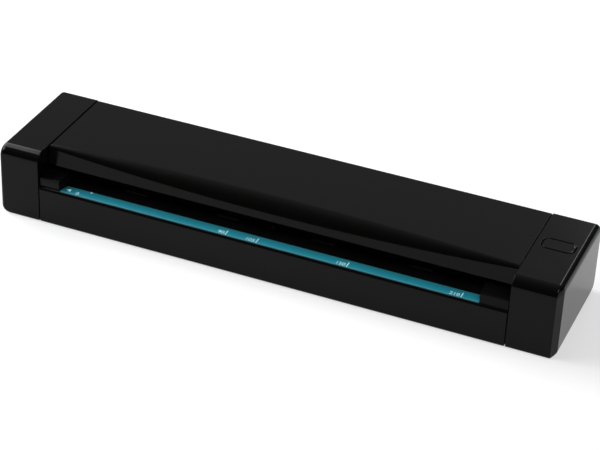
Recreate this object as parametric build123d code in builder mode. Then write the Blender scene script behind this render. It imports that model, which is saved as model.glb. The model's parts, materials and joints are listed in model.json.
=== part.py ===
from build123d import *
from math import acos, cos, pi, radians, sin, sqrt, tan
import os

# Portable sheet-fed document scanner, millimetres, standing on its feet at z = 0.
# X runs along the body, the paper goes in at the front (-Y) and comes out at the back (+Y).

os.makedirs("parts", exist_ok=True)

# Body
overall_length = 290.0
overall_depth = 65.0
case_height = 37.7
foot_rise = 0.3
left_cap_width = 21.6
right_cap_width = 23.8
seam_gap = 0.5
wall = 1.8
frame_thickness = 2.4
fit_gap = 0.1
running_gap = 0.05
least_radius = 0.5
front_top_radius = 5.6
front_low_radius = 1.0
back_top_radius = 3.3
back_low_radius = 5.1
end_edge_radius = 2.6

# Paper path
path_height = 20.0
path_gap = 1.4
guide_thickness = 1.6
lip_radius = 1.7
rear_wall_top = 19.7
paper_width = 216.0
paper_side_play = 0.3
lead_in = 1.1
lead_in_length = 9.0
block_rise = 3.9
block_setback = 2.5
block_end = 20.0
path_centre = -2.85
strip_front = 0.9
strip_width = 6.5
strip_thickness = 0.8

# Top cover
cover_setback = 11.7
cover_drop = 0.3
cover_front_rise = 7.0
cover_rear_rise = 5.0
cover_undercut_length = 6.0
crescent_end_radius = 2.4
crescent_middle_radius = 8.4
hinge_inset = 5.2
hinge_drop = 6.8
hinge_pin_radius = 1.5
hinge_boss_radius = 3.1
hinge_boss_length = 4.0

# Rollers
roller_radius = 4.0
roller_unit_gap = 0.6
roller_proud = 0.3
roller_length = 12.0
roller_pitch = 50.0
roller_count = 4
shaft_radius = 1.75
bush_radius = 3.2
bush_flange_radius = 4.0
bush_flange = 0.6
window_play = 0.6
pinch_radius = 3.0
pinch_shaft_radius = 1.0
pinch_length = 10.0
pinch_gap = 0.3
bracket_thickness = 1.6
bracket_width = 6.0
leaf_thickness = 0.3
leaf_length = 5.0
roof_slope_length = 2.0
exit_flare = 3.2
roof_rear_inset = 3.9

roof_side_play = 0.35
end_play = 0.2
block_edge = 0.5
cover_stations = 9

# Gears
gear_module = 0.5
pressure_angle = 20.0
addendum = 0.8
dedendum = 1.05
tooth_thinning = 0.08
feed_teeth = 28
idler_teeth = 34
reduction_large_teeth = 30
reduction_small_teeth = 12
pinion_teeth = 12
gear_width = 3.0
gear_side_gap = 1.2
layer_gap = 0.7
axle_radius = 1.25
clip_radius = 2.6
clip_thickness = 0.5
reduction_direction = 139.5
pinion_direction = 260.1
motor_radius = 5.0
motor_length = 20.0
motor_boss_radius = 2.0
motor_boss_length = 1.2
motor_shaft_radius = 0.75
motor_screw_reach = 3.4
motor_screw_length = 3.0
motor_edge = 0.5
motor_play = 0.15
pin_head_radius = 2.3
pin_head_height = 0.8
hinge_pin_length = 8.4

# Scan units, measured from the outer face of their glass
unit_width = 12.5
unit_height = 9.6
unit_end_margin = 7.7
neck_width = 10.4
glass_width = 9.6
glass_thickness = 1.0
glass_side_margin = 1.7
neck_side_margin = 0.3
neck_rise = 0.4
neck_play = 0.2
lower_unit_y = -2.15
upper_unit_y = 7.75
light_bay_width = 7.2
light_bay_depth = 2.4
light_guide_width = 2.2
light_guide_height = 2.0
light_guide_y = 2.2
lens_width = 1.6
lens_height = 4.5
lens_play = 0.1
lens_lift = 0.6
sensor_board_width = 10.0
board_thickness = 1.2
white_strip_width = 7.0
white_strip_thickness = 0.8
upper_white_y = -2.5
lower_white_y = 9.2

# Screws
screw_radius = 1.0
screw_head_radius = 1.9
screw_head_height = 0.9
screw_recess = 1.0
screw_hole_play = 0.05
head_play = 0.2
cross_length = 1.9
cross_width = 0.5
cross_depth = 0.5
boss_radius = 2.8
guide_screw_x = 75.0
guide_screw_rows = (-24.0, 8.6)
guide_screw_length = 5.5
guide_post_roof = 2.0
guide_boss_length = 3.0
cap_screw_rows = (-17.0, 17.0)
cap_screw_length = 5.4
cap_boss_height = 4.5
cap_boss_width = 6.4
cap_boss_reach = 6.8
frame_screw_points = ((-10.9, 6.0), (23.0, 7.2))
frame_screw_length = 8.0
frame_boss_length = 8.0
end_rib_top = 11.5
end_rib_thickness = 2.0
cover_screw_x = 50.0
cover_screw_rows = (-8.2, 22.9)
cover_screw_length = 6.0
cover_boss_radius = 2.2

# Feet
foot_radius = 4.5
foot_recess = 0.5
foot_x = 105.0
foot_y = 21.0

# Scan button
button_length = 15.5
button_width = 8.3
button_y = 3.9
button_offset = 12.8
button_play = 0.15
button_travel = 0.6
button_flange = 0.5
button_flange_height = 0.8
button_edge = 0.25
button_corner = 3.2
button_stem_radius = 1.2
button_stem_length = 1.5
switch_size = 6.0
switch_height = 2.2
button_overtravel = 0.3
plunger_height = 1.8
plunger_radius = 1.6
button_board_length = 12.0
button_board_width = 17.6
button_post_radius = 1.6
button_post_inset = 1.6

# Main board and sockets
board_standoff = 1.6
standoff_radius = 2.0
board_front = -20.0
board_rear_inset = 3.5
board_low = 8.0
board_high = 28.5
board_screw_inset = 2.6
board_screw_length = 3.4
processor_size = 9.0
chip_height = 1.1
socket_height = 7.5
socket_thickness = 2.7
socket_depth = 5.6
socket_shell = 0.3
socket_z = 18.25
socket_play = 0.25
socket_corner = 0.6
tongue_thickness = 0.7
tongue_width = 5.7
tongue_length = 4.4
socket_inset = 0.5
ribbon_width = 11.0
ribbon_thickness = 0.3
ribbon_connector_height = 3.0
ribbon_connector_reach = 2.8
ribbon_connector_side = 1.2
plug_width = 5.0
plug_reach = 3.6
plug_height = 4.0
cable_radius = 0.8
wire_play = 0.4
cable_run_y = -28.5
cable_cross_y = -25.0
cable_cross_z = 5.0
cable_bend = 2.4
cable_lead = 9.6
cable_drop = 9.6
cable_rise = 9.6
cable_pass = 4.8
ribbon_low_z = 5.4
ribbon_bend = 1.2
ribbon_foot = 8.0

# Paper sensor
lever_y = -18.5
lever_z = 14.5
lever_thickness = 1.6
lever_width = 1.6
lever_rise = 8.5
lever_drop = 6.0
lever_axle_radius = 0.9
lever_axle_length = 8.0
lever_ear = 1.4
lever_ear_half = 1.9
lever_hub_radius = 1.7
lever_flag_width = 3.0
lever_slot_play = 0.5
lever_slot_length = 9.6
lever_lean = 1.3
gate_length = 7.0
gate_width = 4.0
gate_height = 7.4
gate_base = 1.5
gate_slot = 2.6

# Cover catches
catch_inset = 5.8
catch_y = -14.0
catch_width = 4.0
catch_thickness = 1.2
catch_depth = 1.4
catch_play = 0.4
catch_spring_thickness = 0.3
catch_chamfer = 0.3

# Places that follow from the sizes above
left_end = -overall_length / 2
right_end = overall_length / 2
left_seam = left_end + left_cap_width
right_seam = right_end - right_cap_width
tub_left = left_seam + seam_gap
tub_right = right_seam - seam_gap
tub_length = tub_right - tub_left
front = -overall_depth / 2
back = overall_depth / 2
low = foot_rise
high = foot_rise + case_height
floor_top = low + wall
cover_front = front + cover_setback
cover_top = high - cover_drop
cover_ceiling = cover_top - wall
hinge_y = back - hinge_inset
hinge_z = high - hinge_drop
guide_underside = path_height - guide_thickness
post_top = guide_underside - guide_boss_length
guide_head_z = post_top - guide_post_roof - screw_head_height
path_roof = path_height + path_gap
channel_half = paper_width / 2 + paper_side_play
block_top = path_height + block_rise
feed_roller_y = lower_unit_y - unit_width / 2 - roller_unit_gap - roller_radius
roller_z = path_height + roller_proud - roller_radius
pinch_z = path_height + roller_proud + pinch_gap + pinch_radius
feed_radius = feed_teeth * gear_module / 2
idler_radius = idler_teeth * gear_module / 2
idler_y = feed_roller_y + feed_radius + idler_radius
exit_roller_y = idler_y + idler_radius + feed_radius
reduction_reach = (feed_teeth + reduction_small_teeth) * gear_module / 2
reduction_y = feed_roller_y + reduction_reach * cos(radians(reduction_direction))
reduction_z = roller_z + reduction_reach * sin(radians(reduction_direction))
pinion_reach = (reduction_large_teeth + pinion_teeth) * gear_module / 2
motor_y = reduction_y + pinion_reach * cos(radians(pinion_direction))
motor_z = reduction_z + pinion_reach * sin(radians(pinion_direction))
left_frame_outer = left_seam - frame_thickness
right_frame_outer = right_seam + frame_thickness
inner_layer = left_frame_outer - gear_side_gap
outer_layer = inner_layer - gear_width - layer_gap
roller_xs = [path_centre + (i - (roller_count - 1) / 2) * roller_pitch for i in range(roller_count)]
button_x = right_end - button_offset
board_x = right_frame_outer + board_standoff
board_back = back - board_rear_inset
board_face = board_x + board_thickness
cover_rear_low = path_height + cover_rear_rise
cover_front_low = path_height + cover_front_rise
roof_top = path_roof + guide_thickness
roof_half = channel_half - roof_side_play
strip_back = front + strip_front + strip_width
glass_length = paper_width - 2 * glass_side_margin
unit_length = glass_length + 2 * unit_end_margin
unit_left = path_centre - unit_length / 2
neck_length = glass_length + 2 * neck_side_margin
bracket_top = pinch_z + pinch_shaft_radius + running_gap
bracket_xs = [
    x + side * (pinch_length + 2 * window_play + bracket_thickness) / 2
    for x in roller_xs
    for side in (-1, 1)
]
roller_dip = roller_radius - sqrt(roller_radius**2 - (guide_underside - roller_z) ** 2)
catch_xs = (tub_left + catch_inset, tub_right - catch_inset)
catch_pocket_width = catch_thickness + 2 * (catch_play + catch_spring_thickness)
button_flange_top = high - wall - fit_gap
button_stem_low = button_flange_top - button_flange_height - button_stem_length
switch_top = button_stem_low - button_travel - button_overtravel
button_board_z = switch_top - switch_height - board_thickness
button_post_ys = [
    button_y + side * (button_board_width / 2 - button_post_inset) for side in (-1, 1)
]
plug_y = board_front + 2 * board_screw_inset
feed_shaft_left = inner_layer - gear_width - end_play
feed_shaft_right = right_frame_outer + bush_flange + end_play
motor_back = left_seam + motor_length
motor_screw_bite = frame_thickness + motor_screw_length - end_play


def outline(corners, radii):
    """A closed outline through its corners, each with its own rounding."""
    with BuildSketch() as shape:
        with BuildLine():
            FilletPolyline(*corners, radius=radii, close=True)
        make_face()
    return shape.sketch


def case_outline(inset):
    """The end view of the body, drawn in by the given distance."""
    corners = [
        (front + inset, low + inset),
        (back - inset, low + inset),
        (back - inset, high - inset),
        (front + inset, high - inset),
    ]
    radii = [front_low_radius, back_low_radius, back_top_radius, front_top_radius]
    return outline(corners, [max(radius - inset, least_radius) for radius in radii])


def crescent_radius(x):
    """Rounding of the cover's front edge: widest at mid length, tight at both ends."""
    middle = (tub_left + tub_right) / 2
    share = (x - middle) / (tub_length / 2)
    return crescent_end_radius + (crescent_middle_radius - crescent_end_radius) * (1 - share**2)


def cover_outline(x, inset, bottom):
    """End view of the cover at x, from its roof down to the given height."""
    corners = [
        (cover_front + inset, bottom),
        (back - inset, bottom),
        (back - inset, cover_top - inset),
        (cover_front + inset, cover_top - inset),
    ]
    rear_radius = back_top_radius - inset
    front_radius = max(crescent_radius(x) - inset, least_radius)
    return outline(corners, [0, 0, rear_radius, front_radius])


def gear_outline(teeth, turn):
    """A spur gear's outline with one tooth centred on the angle turn, in degrees."""
    pitch_radius = teeth * gear_module / 2
    base_radius = pitch_radius * cos(radians(pressure_angle))
    root_radius = pitch_radius - dedendum * gear_module
    tip_radius = pitch_radius + addendum * gear_module
    half_thickness = (pi * gear_module / 2 - tooth_thinning) / 2 / pitch_radius

    def half_angle(radius):
        angle = acos(min(base_radius / radius, 1.0))
        pitch_angle = radians(pressure_angle)
        return half_thickness + tan(pitch_angle) - pitch_angle - (tan(angle) - angle)

    flank = [max(base_radius, root_radius), pitch_radius, tip_radius]
    points = []
    for tooth in range(teeth):
        centre = radians(turn) + 2 * pi * tooth / teeth
        rising = [(root_radius, centre - half_angle(flank[0]))]
        rising += [(radius, centre - half_angle(radius)) for radius in flank]
        falling = [(radius, 2 * centre - angle) for radius, angle in reversed(rising)]
        points += [(radius * cos(angle), radius * sin(angle)) for radius, angle in rising + falling]
    with BuildSketch() as shape:
        with BuildLine():
            Polyline(*points, close=True)
        make_face()
    return shape.sketch


def mating_turn(turn, teeth, direction, mate_teeth):
    """Turn of a gear that meshes with another, which lies in the given direction from it."""
    return direction + 180 + 180 / mate_teeth - (turn - direction) * teeth / mate_teeth


def screws(start, inward, points, length):
    """Cross-head screws on one plane, heads at the plane, shanks running inward."""
    with BuildPart() as group:
        with BuildSketch(start):
            with Locations(*points):
                Circle(screw_head_radius)
        extrude(amount=inward * screw_head_height)
        with BuildSketch(start):
            with Locations(*points):
                Circle(screw_radius)
        extrude(amount=inward * (screw_head_height + length))
        with BuildSketch(start):
            with Locations(*points):
                Rectangle(cross_length, cross_width)
                Rectangle(cross_width, cross_length)
        extrude(amount=inward * cross_depth, mode=Mode.SUBTRACT)
    return group


# Turns that put every pair of gears in mesh, measured from +Y towards +Z
feed_turn = 0.0
idler_turn = mating_turn(feed_turn, feed_teeth, 0.0, idler_teeth)
exit_turn = mating_turn(idler_turn, idler_teeth, 0.0, feed_teeth)
reduction_turn = mating_turn(feed_turn, feed_teeth, reduction_direction, reduction_small_teeth)
pinion_turn = mating_turn(reduction_turn, reduction_large_teeth, pinion_direction, pinion_teeth)

# Places of the screws
cap_screw_x = (left_frame_outer - cap_boss_reach / 2, right_frame_outer + cap_boss_reach / 2)
cap_screw_points = [(x, y) for x in cap_screw_x for y in cap_screw_rows]
guide_screw_points = [
    (path_centre + side * guide_screw_x, y) for side in (-1, 1) for y in guide_screw_rows
]
cover_screw_points = [
    (path_centre + side * cover_screw_x, y) for side in (-1, 1) for y in cover_screw_rows
]
foot_points = [(side * foot_x, end * foot_y) for side in (-1, 1) for end in (-1, 1)]
board_screw_points = [
    (y, z)
    for y in (board_front + board_screw_inset, board_back - board_screw_inset)
    for z in (board_low + board_screw_inset, board_high - board_screw_inset)
]
motor_screw_points = [(motor_y, motor_z + side * motor_screw_reach) for side in (-1, 1)]


# Bottom case: a tub between the two side frames
with BuildPart() as bottom_case:
    tub_corners = [
        (front, low),
        (back, low),
        (back, rear_wall_top),
        (back - wall, rear_wall_top),
        (back - wall, floor_top),
        (front + wall, floor_top),
        (front + wall, path_height),
        (front, path_height),
    ]
    tub_radii = [front_low_radius, back_low_radius, wall / 2, 0]
    tub_radii += [back_low_radius - wall, max(front_low_radius - wall, least_radius), 0, 0]
    with BuildSketch(Plane.YZ.offset(tub_left)):
        add(outline(tub_corners, tub_radii))
    extrude(amount=tub_length)
    lip_edges = bottom_case.edges().filter_by(Axis.X).group_by(Axis.Z)[-1].sort_by(Axis.Y)
    fillet(lip_edges[0], radius=min(lip_radius, wall - fit_gap))
    # Rebate that the paper guide strip lies in
    with BuildSketch(Plane.XY.offset(path_height)):
        with Locations((path_centre, front + strip_front)):
            Rectangle(2 * (channel_half + lead_in), wall, align=(Align.CENTER, Align.MIN))
    extrude(amount=-strip_thickness, mode=Mode.SUBTRACT)
    # End ribs that the side frames are screwed to
    for rib_x in (tub_left, tub_right - end_rib_thickness):
        with BuildSketch(Plane.YZ.offset(rib_x)):
            with Locations(((front + back) / 2, floor_top)):
                Rectangle(
                    overall_depth - 2 * back_low_radius,
                    end_rib_top - floor_top,
                    align=(Align.CENTER, Align.MIN),
                )
        extrude(amount=end_rib_thickness)
    for boss_start, inward in ((tub_left, 1), (tub_right, -1)):
        with BuildSketch(Plane.YZ.offset(boss_start)):
            with Locations(*frame_screw_points):
                Circle(boss_radius)
        extrude(amount=inward * frame_boss_length)
        with BuildSketch(Plane.YZ.offset(boss_start)):
            with Locations(*frame_screw_points):
                Circle(screw_radius + screw_hole_play)
        extrude(amount=inward * (frame_boss_length + fit_gap), mode=Mode.SUBTRACT)
    with BuildSketch(Plane.YZ.offset(tub_left)):
        with Locations((motor_y, motor_z)):
            Circle(motor_radius + motor_play)
    extrude(amount=end_rib_thickness, mode=Mode.SUBTRACT)
    # Ways through the right rib for the ribbon and the motor cable
    with BuildSketch(Plane.YZ.offset(tub_right)):
        with Locations((lower_unit_y, ribbon_low_z - wire_play)):
            Rectangle(
                ribbon_width + 2 * wire_play,
                end_rib_top - ribbon_low_z + wire_play,
                align=(Align.CENTER, Align.MIN),
            )
        with Locations((cable_cross_y, cable_cross_z)):
            Circle(cable_radius + wire_play)
    extrude(amount=-end_rib_thickness, mode=Mode.SUBTRACT)
    # Posts that carry the lower paper guide
    with BuildSketch(Plane.XY.offset(low + wall / 2)):
        with Locations(*guide_screw_points):
            Circle(boss_radius)
    extrude(amount=post_top - low - wall / 2)
    with BuildSketch(Plane.XY.offset(low)):
        with Locations(*guide_screw_points):
            Circle(screw_radius + screw_hole_play)
    extrude(amount=post_top - low, mode=Mode.SUBTRACT)
    with BuildSketch(Plane.XY.offset(low)):
        with Locations(*guide_screw_points):
            Circle(screw_head_radius + screw_hole_play)
    extrude(amount=guide_head_z + screw_head_height - low, mode=Mode.SUBTRACT)
    # Shallow seats for the feet
    with BuildSketch(Plane.XY.offset(low)):
        with Locations(*foot_points):
            Circle(foot_radius)
    extrude(amount=foot_recess, mode=Mode.SUBTRACT)
bottom_case.part.label = "bottom_case"
export_step(bottom_case.part, "parts/bottom_case.step")


def end_cap(seam_x, outward):
    """A hollow end cap, open towards the middle of the body."""
    width = left_cap_width if outward < 0 else right_cap_width
    with BuildPart() as cap:
        with BuildSketch(Plane.YZ.offset(seam_x)):
            add(case_outline(0))
        extrude(amount=outward * width)
        end_face = cap.faces().sort_by(Axis.X)[-1 if outward > 0 else 0]
        fillet(end_face.edges(), radius=end_edge_radius)
        with BuildSketch(Plane.YZ.offset(seam_x)):
            add(case_outline(wall))
        extrude(amount=outward * (width - wall), mode=Mode.SUBTRACT)
        points = [point for point in cap_screw_points if point[0] * outward > 0]
        with BuildSketch(Plane.XY.offset(low)):
            with Locations(*points):
                Circle(screw_radius + screw_hole_play)
        extrude(amount=wall, mode=Mode.SUBTRACT)
        with BuildSketch(Plane.XY.offset(low)):
            with Locations(*points):
                Circle(screw_head_radius + head_play)
        extrude(amount=screw_recess, mode=Mode.SUBTRACT)
    return cap


# Left end cap, over the drive train
left_end_cap = end_cap(left_seam, -1)
left_end_cap.part.label = "left_end_cap"
export_step(left_end_cap.part, "parts/left_end_cap.step")


# Right end cap, over the main board, with the button's hole and the socket's slot
right_shell = end_cap(right_seam, 1)
with BuildPart() as right_end_cap:
    add(right_shell.part)
    with BuildSketch(Plane.XY.offset(high)):
        with Locations((button_x, button_y)):
            RectangleRounded(
                button_length + 2 * button_play,
                button_width + 2 * button_play,
                button_corner + button_play,
            )
    extrude(amount=-wall, mode=Mode.SUBTRACT)
    with BuildSketch(Plane.XY.offset(high - wall / 2)):
        with Locations(*[(button_x, y) for y in button_post_ys]):
            Circle(button_post_radius)
    extrude(amount=button_board_z + board_thickness - high + wall / 2)
    with BuildSketch(Plane.XY.offset(button_board_z)):
        with Locations(*[(button_x, y) for y in button_post_ys]):
            Circle(screw_radius + screw_hole_play)
    extrude(amount=board_screw_length + board_thickness, mode=Mode.SUBTRACT)
    with BuildSketch(Plane.XZ.offset(-back)):
        with Locations((board_face + socket_thickness / 2, socket_z)):
            Rectangle(socket_thickness + 2 * socket_play, socket_height + 2 * socket_play)
    extrude(amount=wall, mode=Mode.SUBTRACT)
right_end_cap.part.label = "right_end_cap"
export_step(right_end_cap.part, "parts/right_end_cap.step")


def side_frame(inner_x, outward):
    """Plate inside a cap's rim that carries the rollers, the cover's pin and the cap's screws."""
    with BuildPart() as frame:
        with BuildSketch(Plane.YZ.offset(inner_x)):
            add(case_outline(wall + fit_gap))
        extrude(amount=outward * frame_thickness)
        with BuildSketch(Plane.XY.offset(floor_top + fit_gap)):
            with Locations(*[(inner_x + outward * frame_thickness / 2, y) for y in cap_screw_rows]):
                Rectangle(
                    cap_boss_reach + frame_thickness / 2,
                    cap_boss_width,
                    align=(Align.MAX if outward < 0 else Align.MIN, Align.CENTER),
                )
        extrude(amount=cap_boss_height)
        points = [point for point in cap_screw_points if point[0] * outward > 0]
        with BuildSketch(Plane.XY.offset(floor_top)):
            with Locations(*points):
                Circle(screw_radius + screw_hole_play)
        extrude(amount=cap_boss_height + wall, mode=Mode.SUBTRACT)
        with BuildSketch(Plane.YZ.offset(inner_x)):
            with Locations((feed_roller_y, roller_z), (exit_roller_y, roller_z)):
                Circle(bush_radius)
            with Locations((hinge_y, hinge_z)):
                Circle(hinge_pin_radius)
            with Locations(*frame_screw_points):
                Circle(screw_radius + screw_hole_play)
        extrude(amount=outward * frame_thickness, mode=Mode.SUBTRACT)
    return frame


# Left side frame: also holds the motor and the gears' axles
left_plate = side_frame(left_seam, -1)
with BuildPart() as left_side_frame:
    add(left_plate.part)
    with BuildSketch(Plane.YZ.offset(left_seam)):
        with Locations((motor_y, motor_z)):
            Circle(motor_boss_radius)
        with Locations(*motor_screw_points):
            Circle(screw_radius + screw_hole_play)
        with Locations((idler_y, roller_z), (reduction_y, reduction_z)):
            Circle(axle_radius)
    extrude(amount=-frame_thickness, mode=Mode.SUBTRACT)
left_side_frame.part.label = "left_side_frame"
export_step(left_side_frame.part, "parts/left_side_frame.step")


# Right side frame: also holds the main board, and lets the ribbon and the motor cable through
right_plate = side_frame(right_seam, 1)
with BuildPart() as right_side_frame:
    add(right_plate.part)
    with BuildSketch(Plane.YZ.offset(right_frame_outer)):
        with Locations(*board_screw_points):
            Circle(standoff_radius)
    extrude(amount=board_standoff)
    with BuildSketch(Plane.YZ.offset(right_seam)):
        with Locations(*board_screw_points):
            Circle(screw_radius + screw_hole_play)
        with Locations((lower_unit_y, ribbon_low_z)):
            Rectangle(ribbon_width + 2 * wire_play, ribbon_thickness + 2 * wire_play)
        with Locations((cable_cross_y, cable_cross_z)):
            Circle(cable_radius + wire_play)
    extrude(amount=frame_thickness + board_standoff, mode=Mode.SUBTRACT)
right_side_frame.part.label = "right_side_frame"
export_step(right_side_frame.part, "parts/right_side_frame.step")


# Lower paper guide: the plate that the paper slides on, with the two side guide blocks
block_front = front + block_setback
with BuildPart() as lower_paper_guide:
    shelf_top = path_height - strip_thickness
    shelf_low = shelf_top - guide_thickness
    guide_corners = [
        (front + wall + fit_gap, shelf_low),
        (strip_back + guide_thickness, shelf_low),
        (strip_back + guide_thickness, guide_underside),
        (back - wall - fit_gap, guide_underside),
        (back - wall - fit_gap, path_height),
        (strip_back + fit_gap, path_height),
        (strip_back + fit_gap, shelf_top),
        (front + wall + fit_gap, shelf_top),
    ]
    with BuildSketch(Plane.YZ.offset(tub_left + fit_gap)):
        with BuildLine():
            Polyline(*guide_corners, close=True)
        make_face()
    extrude(amount=tub_length - 2 * fit_gap)
    for side, block_end_x in ((-1, tub_left + fit_gap), (1, tub_right - fit_gap)):
        block_corners = [
            (block_end_x, block_front),
            (path_centre + side * (channel_half + lead_in), block_front),
            (path_centre + side * channel_half, block_front + lead_in_length),
            (path_centre + side * channel_half, block_end),
            (block_end_x, block_end),
        ]
        with BuildSketch(Plane.XY.offset(guide_underside)):
            with BuildLine():
                Polyline(*block_corners, close=True)
            make_face()
        extrude(amount=block_top - guide_underside)
    front_edges = lower_paper_guide.edges().group_by(Axis.Z)[-1].filter_by(Axis.X).group_by(Axis.Y)[0]
    fillet(front_edges, radius=block_edge)
    # Pockets for the cover's catches and their springs
    with BuildSketch(Plane.XY.offset(block_top)):
        with Locations(*[(x, catch_y) for x in catch_xs]):
            Rectangle(catch_width + 2 * catch_play, catch_pocket_width)
    extrude(amount=-catch_depth - catch_play, mode=Mode.SUBTRACT)
    # Windows for the rollers, the scan glass and the sensor lever
    with BuildSketch(Plane.XY.offset(guide_underside)):
        with Locations(*[(x, y) for x in roller_xs for y in (feed_roller_y, exit_roller_y)]):
            Rectangle(roller_length + 2 * window_play, 2 * (roller_radius + window_play - roller_dip))
        with Locations((path_centre, lower_unit_y)):
            Rectangle(neck_length + 2 * neck_play, neck_width + 2 * neck_play)
        with Locations((path_centre, lever_y - lever_width)):
            Rectangle(
                lever_thickness + 2 * lever_slot_play,
                lever_slot_length,
                align=(Align.CENTER, Align.MIN),
            )
    extrude(amount=guide_thickness, mode=Mode.SUBTRACT)
    with BuildSketch(Plane.XY.offset(path_height)):
        with Locations((path_centre, lower_white_y)):
            Rectangle(glass_length + 2 * fit_gap, white_strip_width + 2 * fit_gap)
    extrude(amount=-white_strip_thickness, mode=Mode.SUBTRACT)
    # Screw bosses and the ears of the sensor lever, under the plate
    with BuildSketch(Plane.XY.offset(post_top)):
        with Locations(*guide_screw_points):
            Circle(boss_radius)
    extrude(amount=guide_boss_length + fit_gap)
    with BuildSketch(Plane.XY.offset(post_top)):
        with Locations(*guide_screw_points):
            Circle(screw_radius + screw_hole_play)
    extrude(amount=guide_screw_length - guide_post_roof + fit_gap, mode=Mode.SUBTRACT)
    lever_end = lever_axle_length / 2
    for ear_x in (path_centre - lever_end, path_centre + lever_end - lever_ear):
        with BuildSketch(Plane.YZ.offset(ear_x)):
            with Locations((lever_y, guide_underside + fit_gap)):
                Rectangle(
                    2 * lever_ear_half,
                    guide_underside + fit_gap - lever_z + lever_ear_half,
                    align=(Align.CENTER, Align.MAX),
                )
            with Locations((lever_y, lever_z)):
                Circle(lever_axle_radius + running_gap, mode=Mode.SUBTRACT)
        extrude(amount=lever_ear)
lower_paper_guide.part.label = "lower_paper_guide"
export_step(lower_paper_guide.part, "parts/lower_paper_guide.step")


# Coloured strip across the paper mouth
with BuildPart() as guide_strip:
    strip_half = channel_half + lead_in - fit_gap
    strip_rear_half = strip_half - lead_in * (strip_width - block_setback + strip_front) / lead_in_length
    strip_corners = [
        (path_centre - strip_half, front + strip_front + fit_gap),
        (path_centre + strip_half, front + strip_front + fit_gap),
        (path_centre + strip_half, block_front),
        (path_centre + strip_rear_half, strip_back),
        (path_centre - strip_rear_half, strip_back),
        (path_centre - strip_half, block_front),
    ]
    with BuildSketch(Plane.XY.offset(path_height - strip_thickness)):
        with BuildLine():
            Polyline(*strip_corners, close=True)
        make_face()
    extrude(amount=strip_thickness)
guide_strip.part.label = "guide_strip"
export_step(guide_strip.part, "parts/guide_strip.step")


# Top cover: a shell with a crescent-shaped rounding along its front edge
def cover_loft(start_x, end_x, inset, bottom):
    """Solid through end views of the cover at evenly spaced places along it."""
    with BuildPart() as solid:
        for station in range(cover_stations):
            x = start_x + (end_x - start_x) * station / (cover_stations - 1)
            with BuildSketch(Plane.YZ.offset(x)):
                add(cover_outline(x, inset, bottom))
        loft()
    return solid


cover_solid = cover_loft(tub_left, tub_right, 0, cover_rear_low)
cover_hollow = cover_loft(tub_left + wall, tub_right - wall, wall, cover_rear_low - wall)
with BuildPart() as top_cover:
    add(cover_solid.part)
    add(cover_hollow.part, mode=Mode.SUBTRACT)
    with BuildSketch(Plane.XY.offset(cover_rear_low)):
        with Locations(((tub_left + tub_right) / 2, cover_front)):
            Rectangle(tub_length, cover_undercut_length, align=(Align.CENTER, Align.MIN))
    extrude(amount=cover_front_rise - cover_rear_rise, mode=Mode.SUBTRACT)
    for pin_x, inward in ((tub_left, 1), (tub_right, -1)):
        with BuildSketch(Plane.YZ.offset(pin_x)):
            with Locations((hinge_y, hinge_z)):
                Circle(hinge_boss_radius)
        extrude(amount=inward * (wall + hinge_boss_length))
        with BuildSketch(Plane.YZ.offset(pin_x)):
            with Locations((hinge_y, hinge_z)):
                Circle(hinge_pin_radius + running_gap)
        extrude(amount=inward * (wall + hinge_boss_length), mode=Mode.SUBTRACT)
    with BuildSketch(Plane.XY.offset(roof_top)):
        with Locations(*cover_screw_points):
            Circle(cover_boss_radius)
    extrude(amount=cover_ceiling + wall / 2 - roof_top)
    with BuildSketch(Plane.XY.offset(roof_top)):
        with Locations(*cover_screw_points):
            Circle(screw_radius + screw_hole_play)
    extrude(amount=cover_screw_length + fit_gap, mode=Mode.SUBTRACT)
top_cover.part.label = "top_cover"
export_step(top_cover.part, "parts/top_cover.step")


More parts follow.
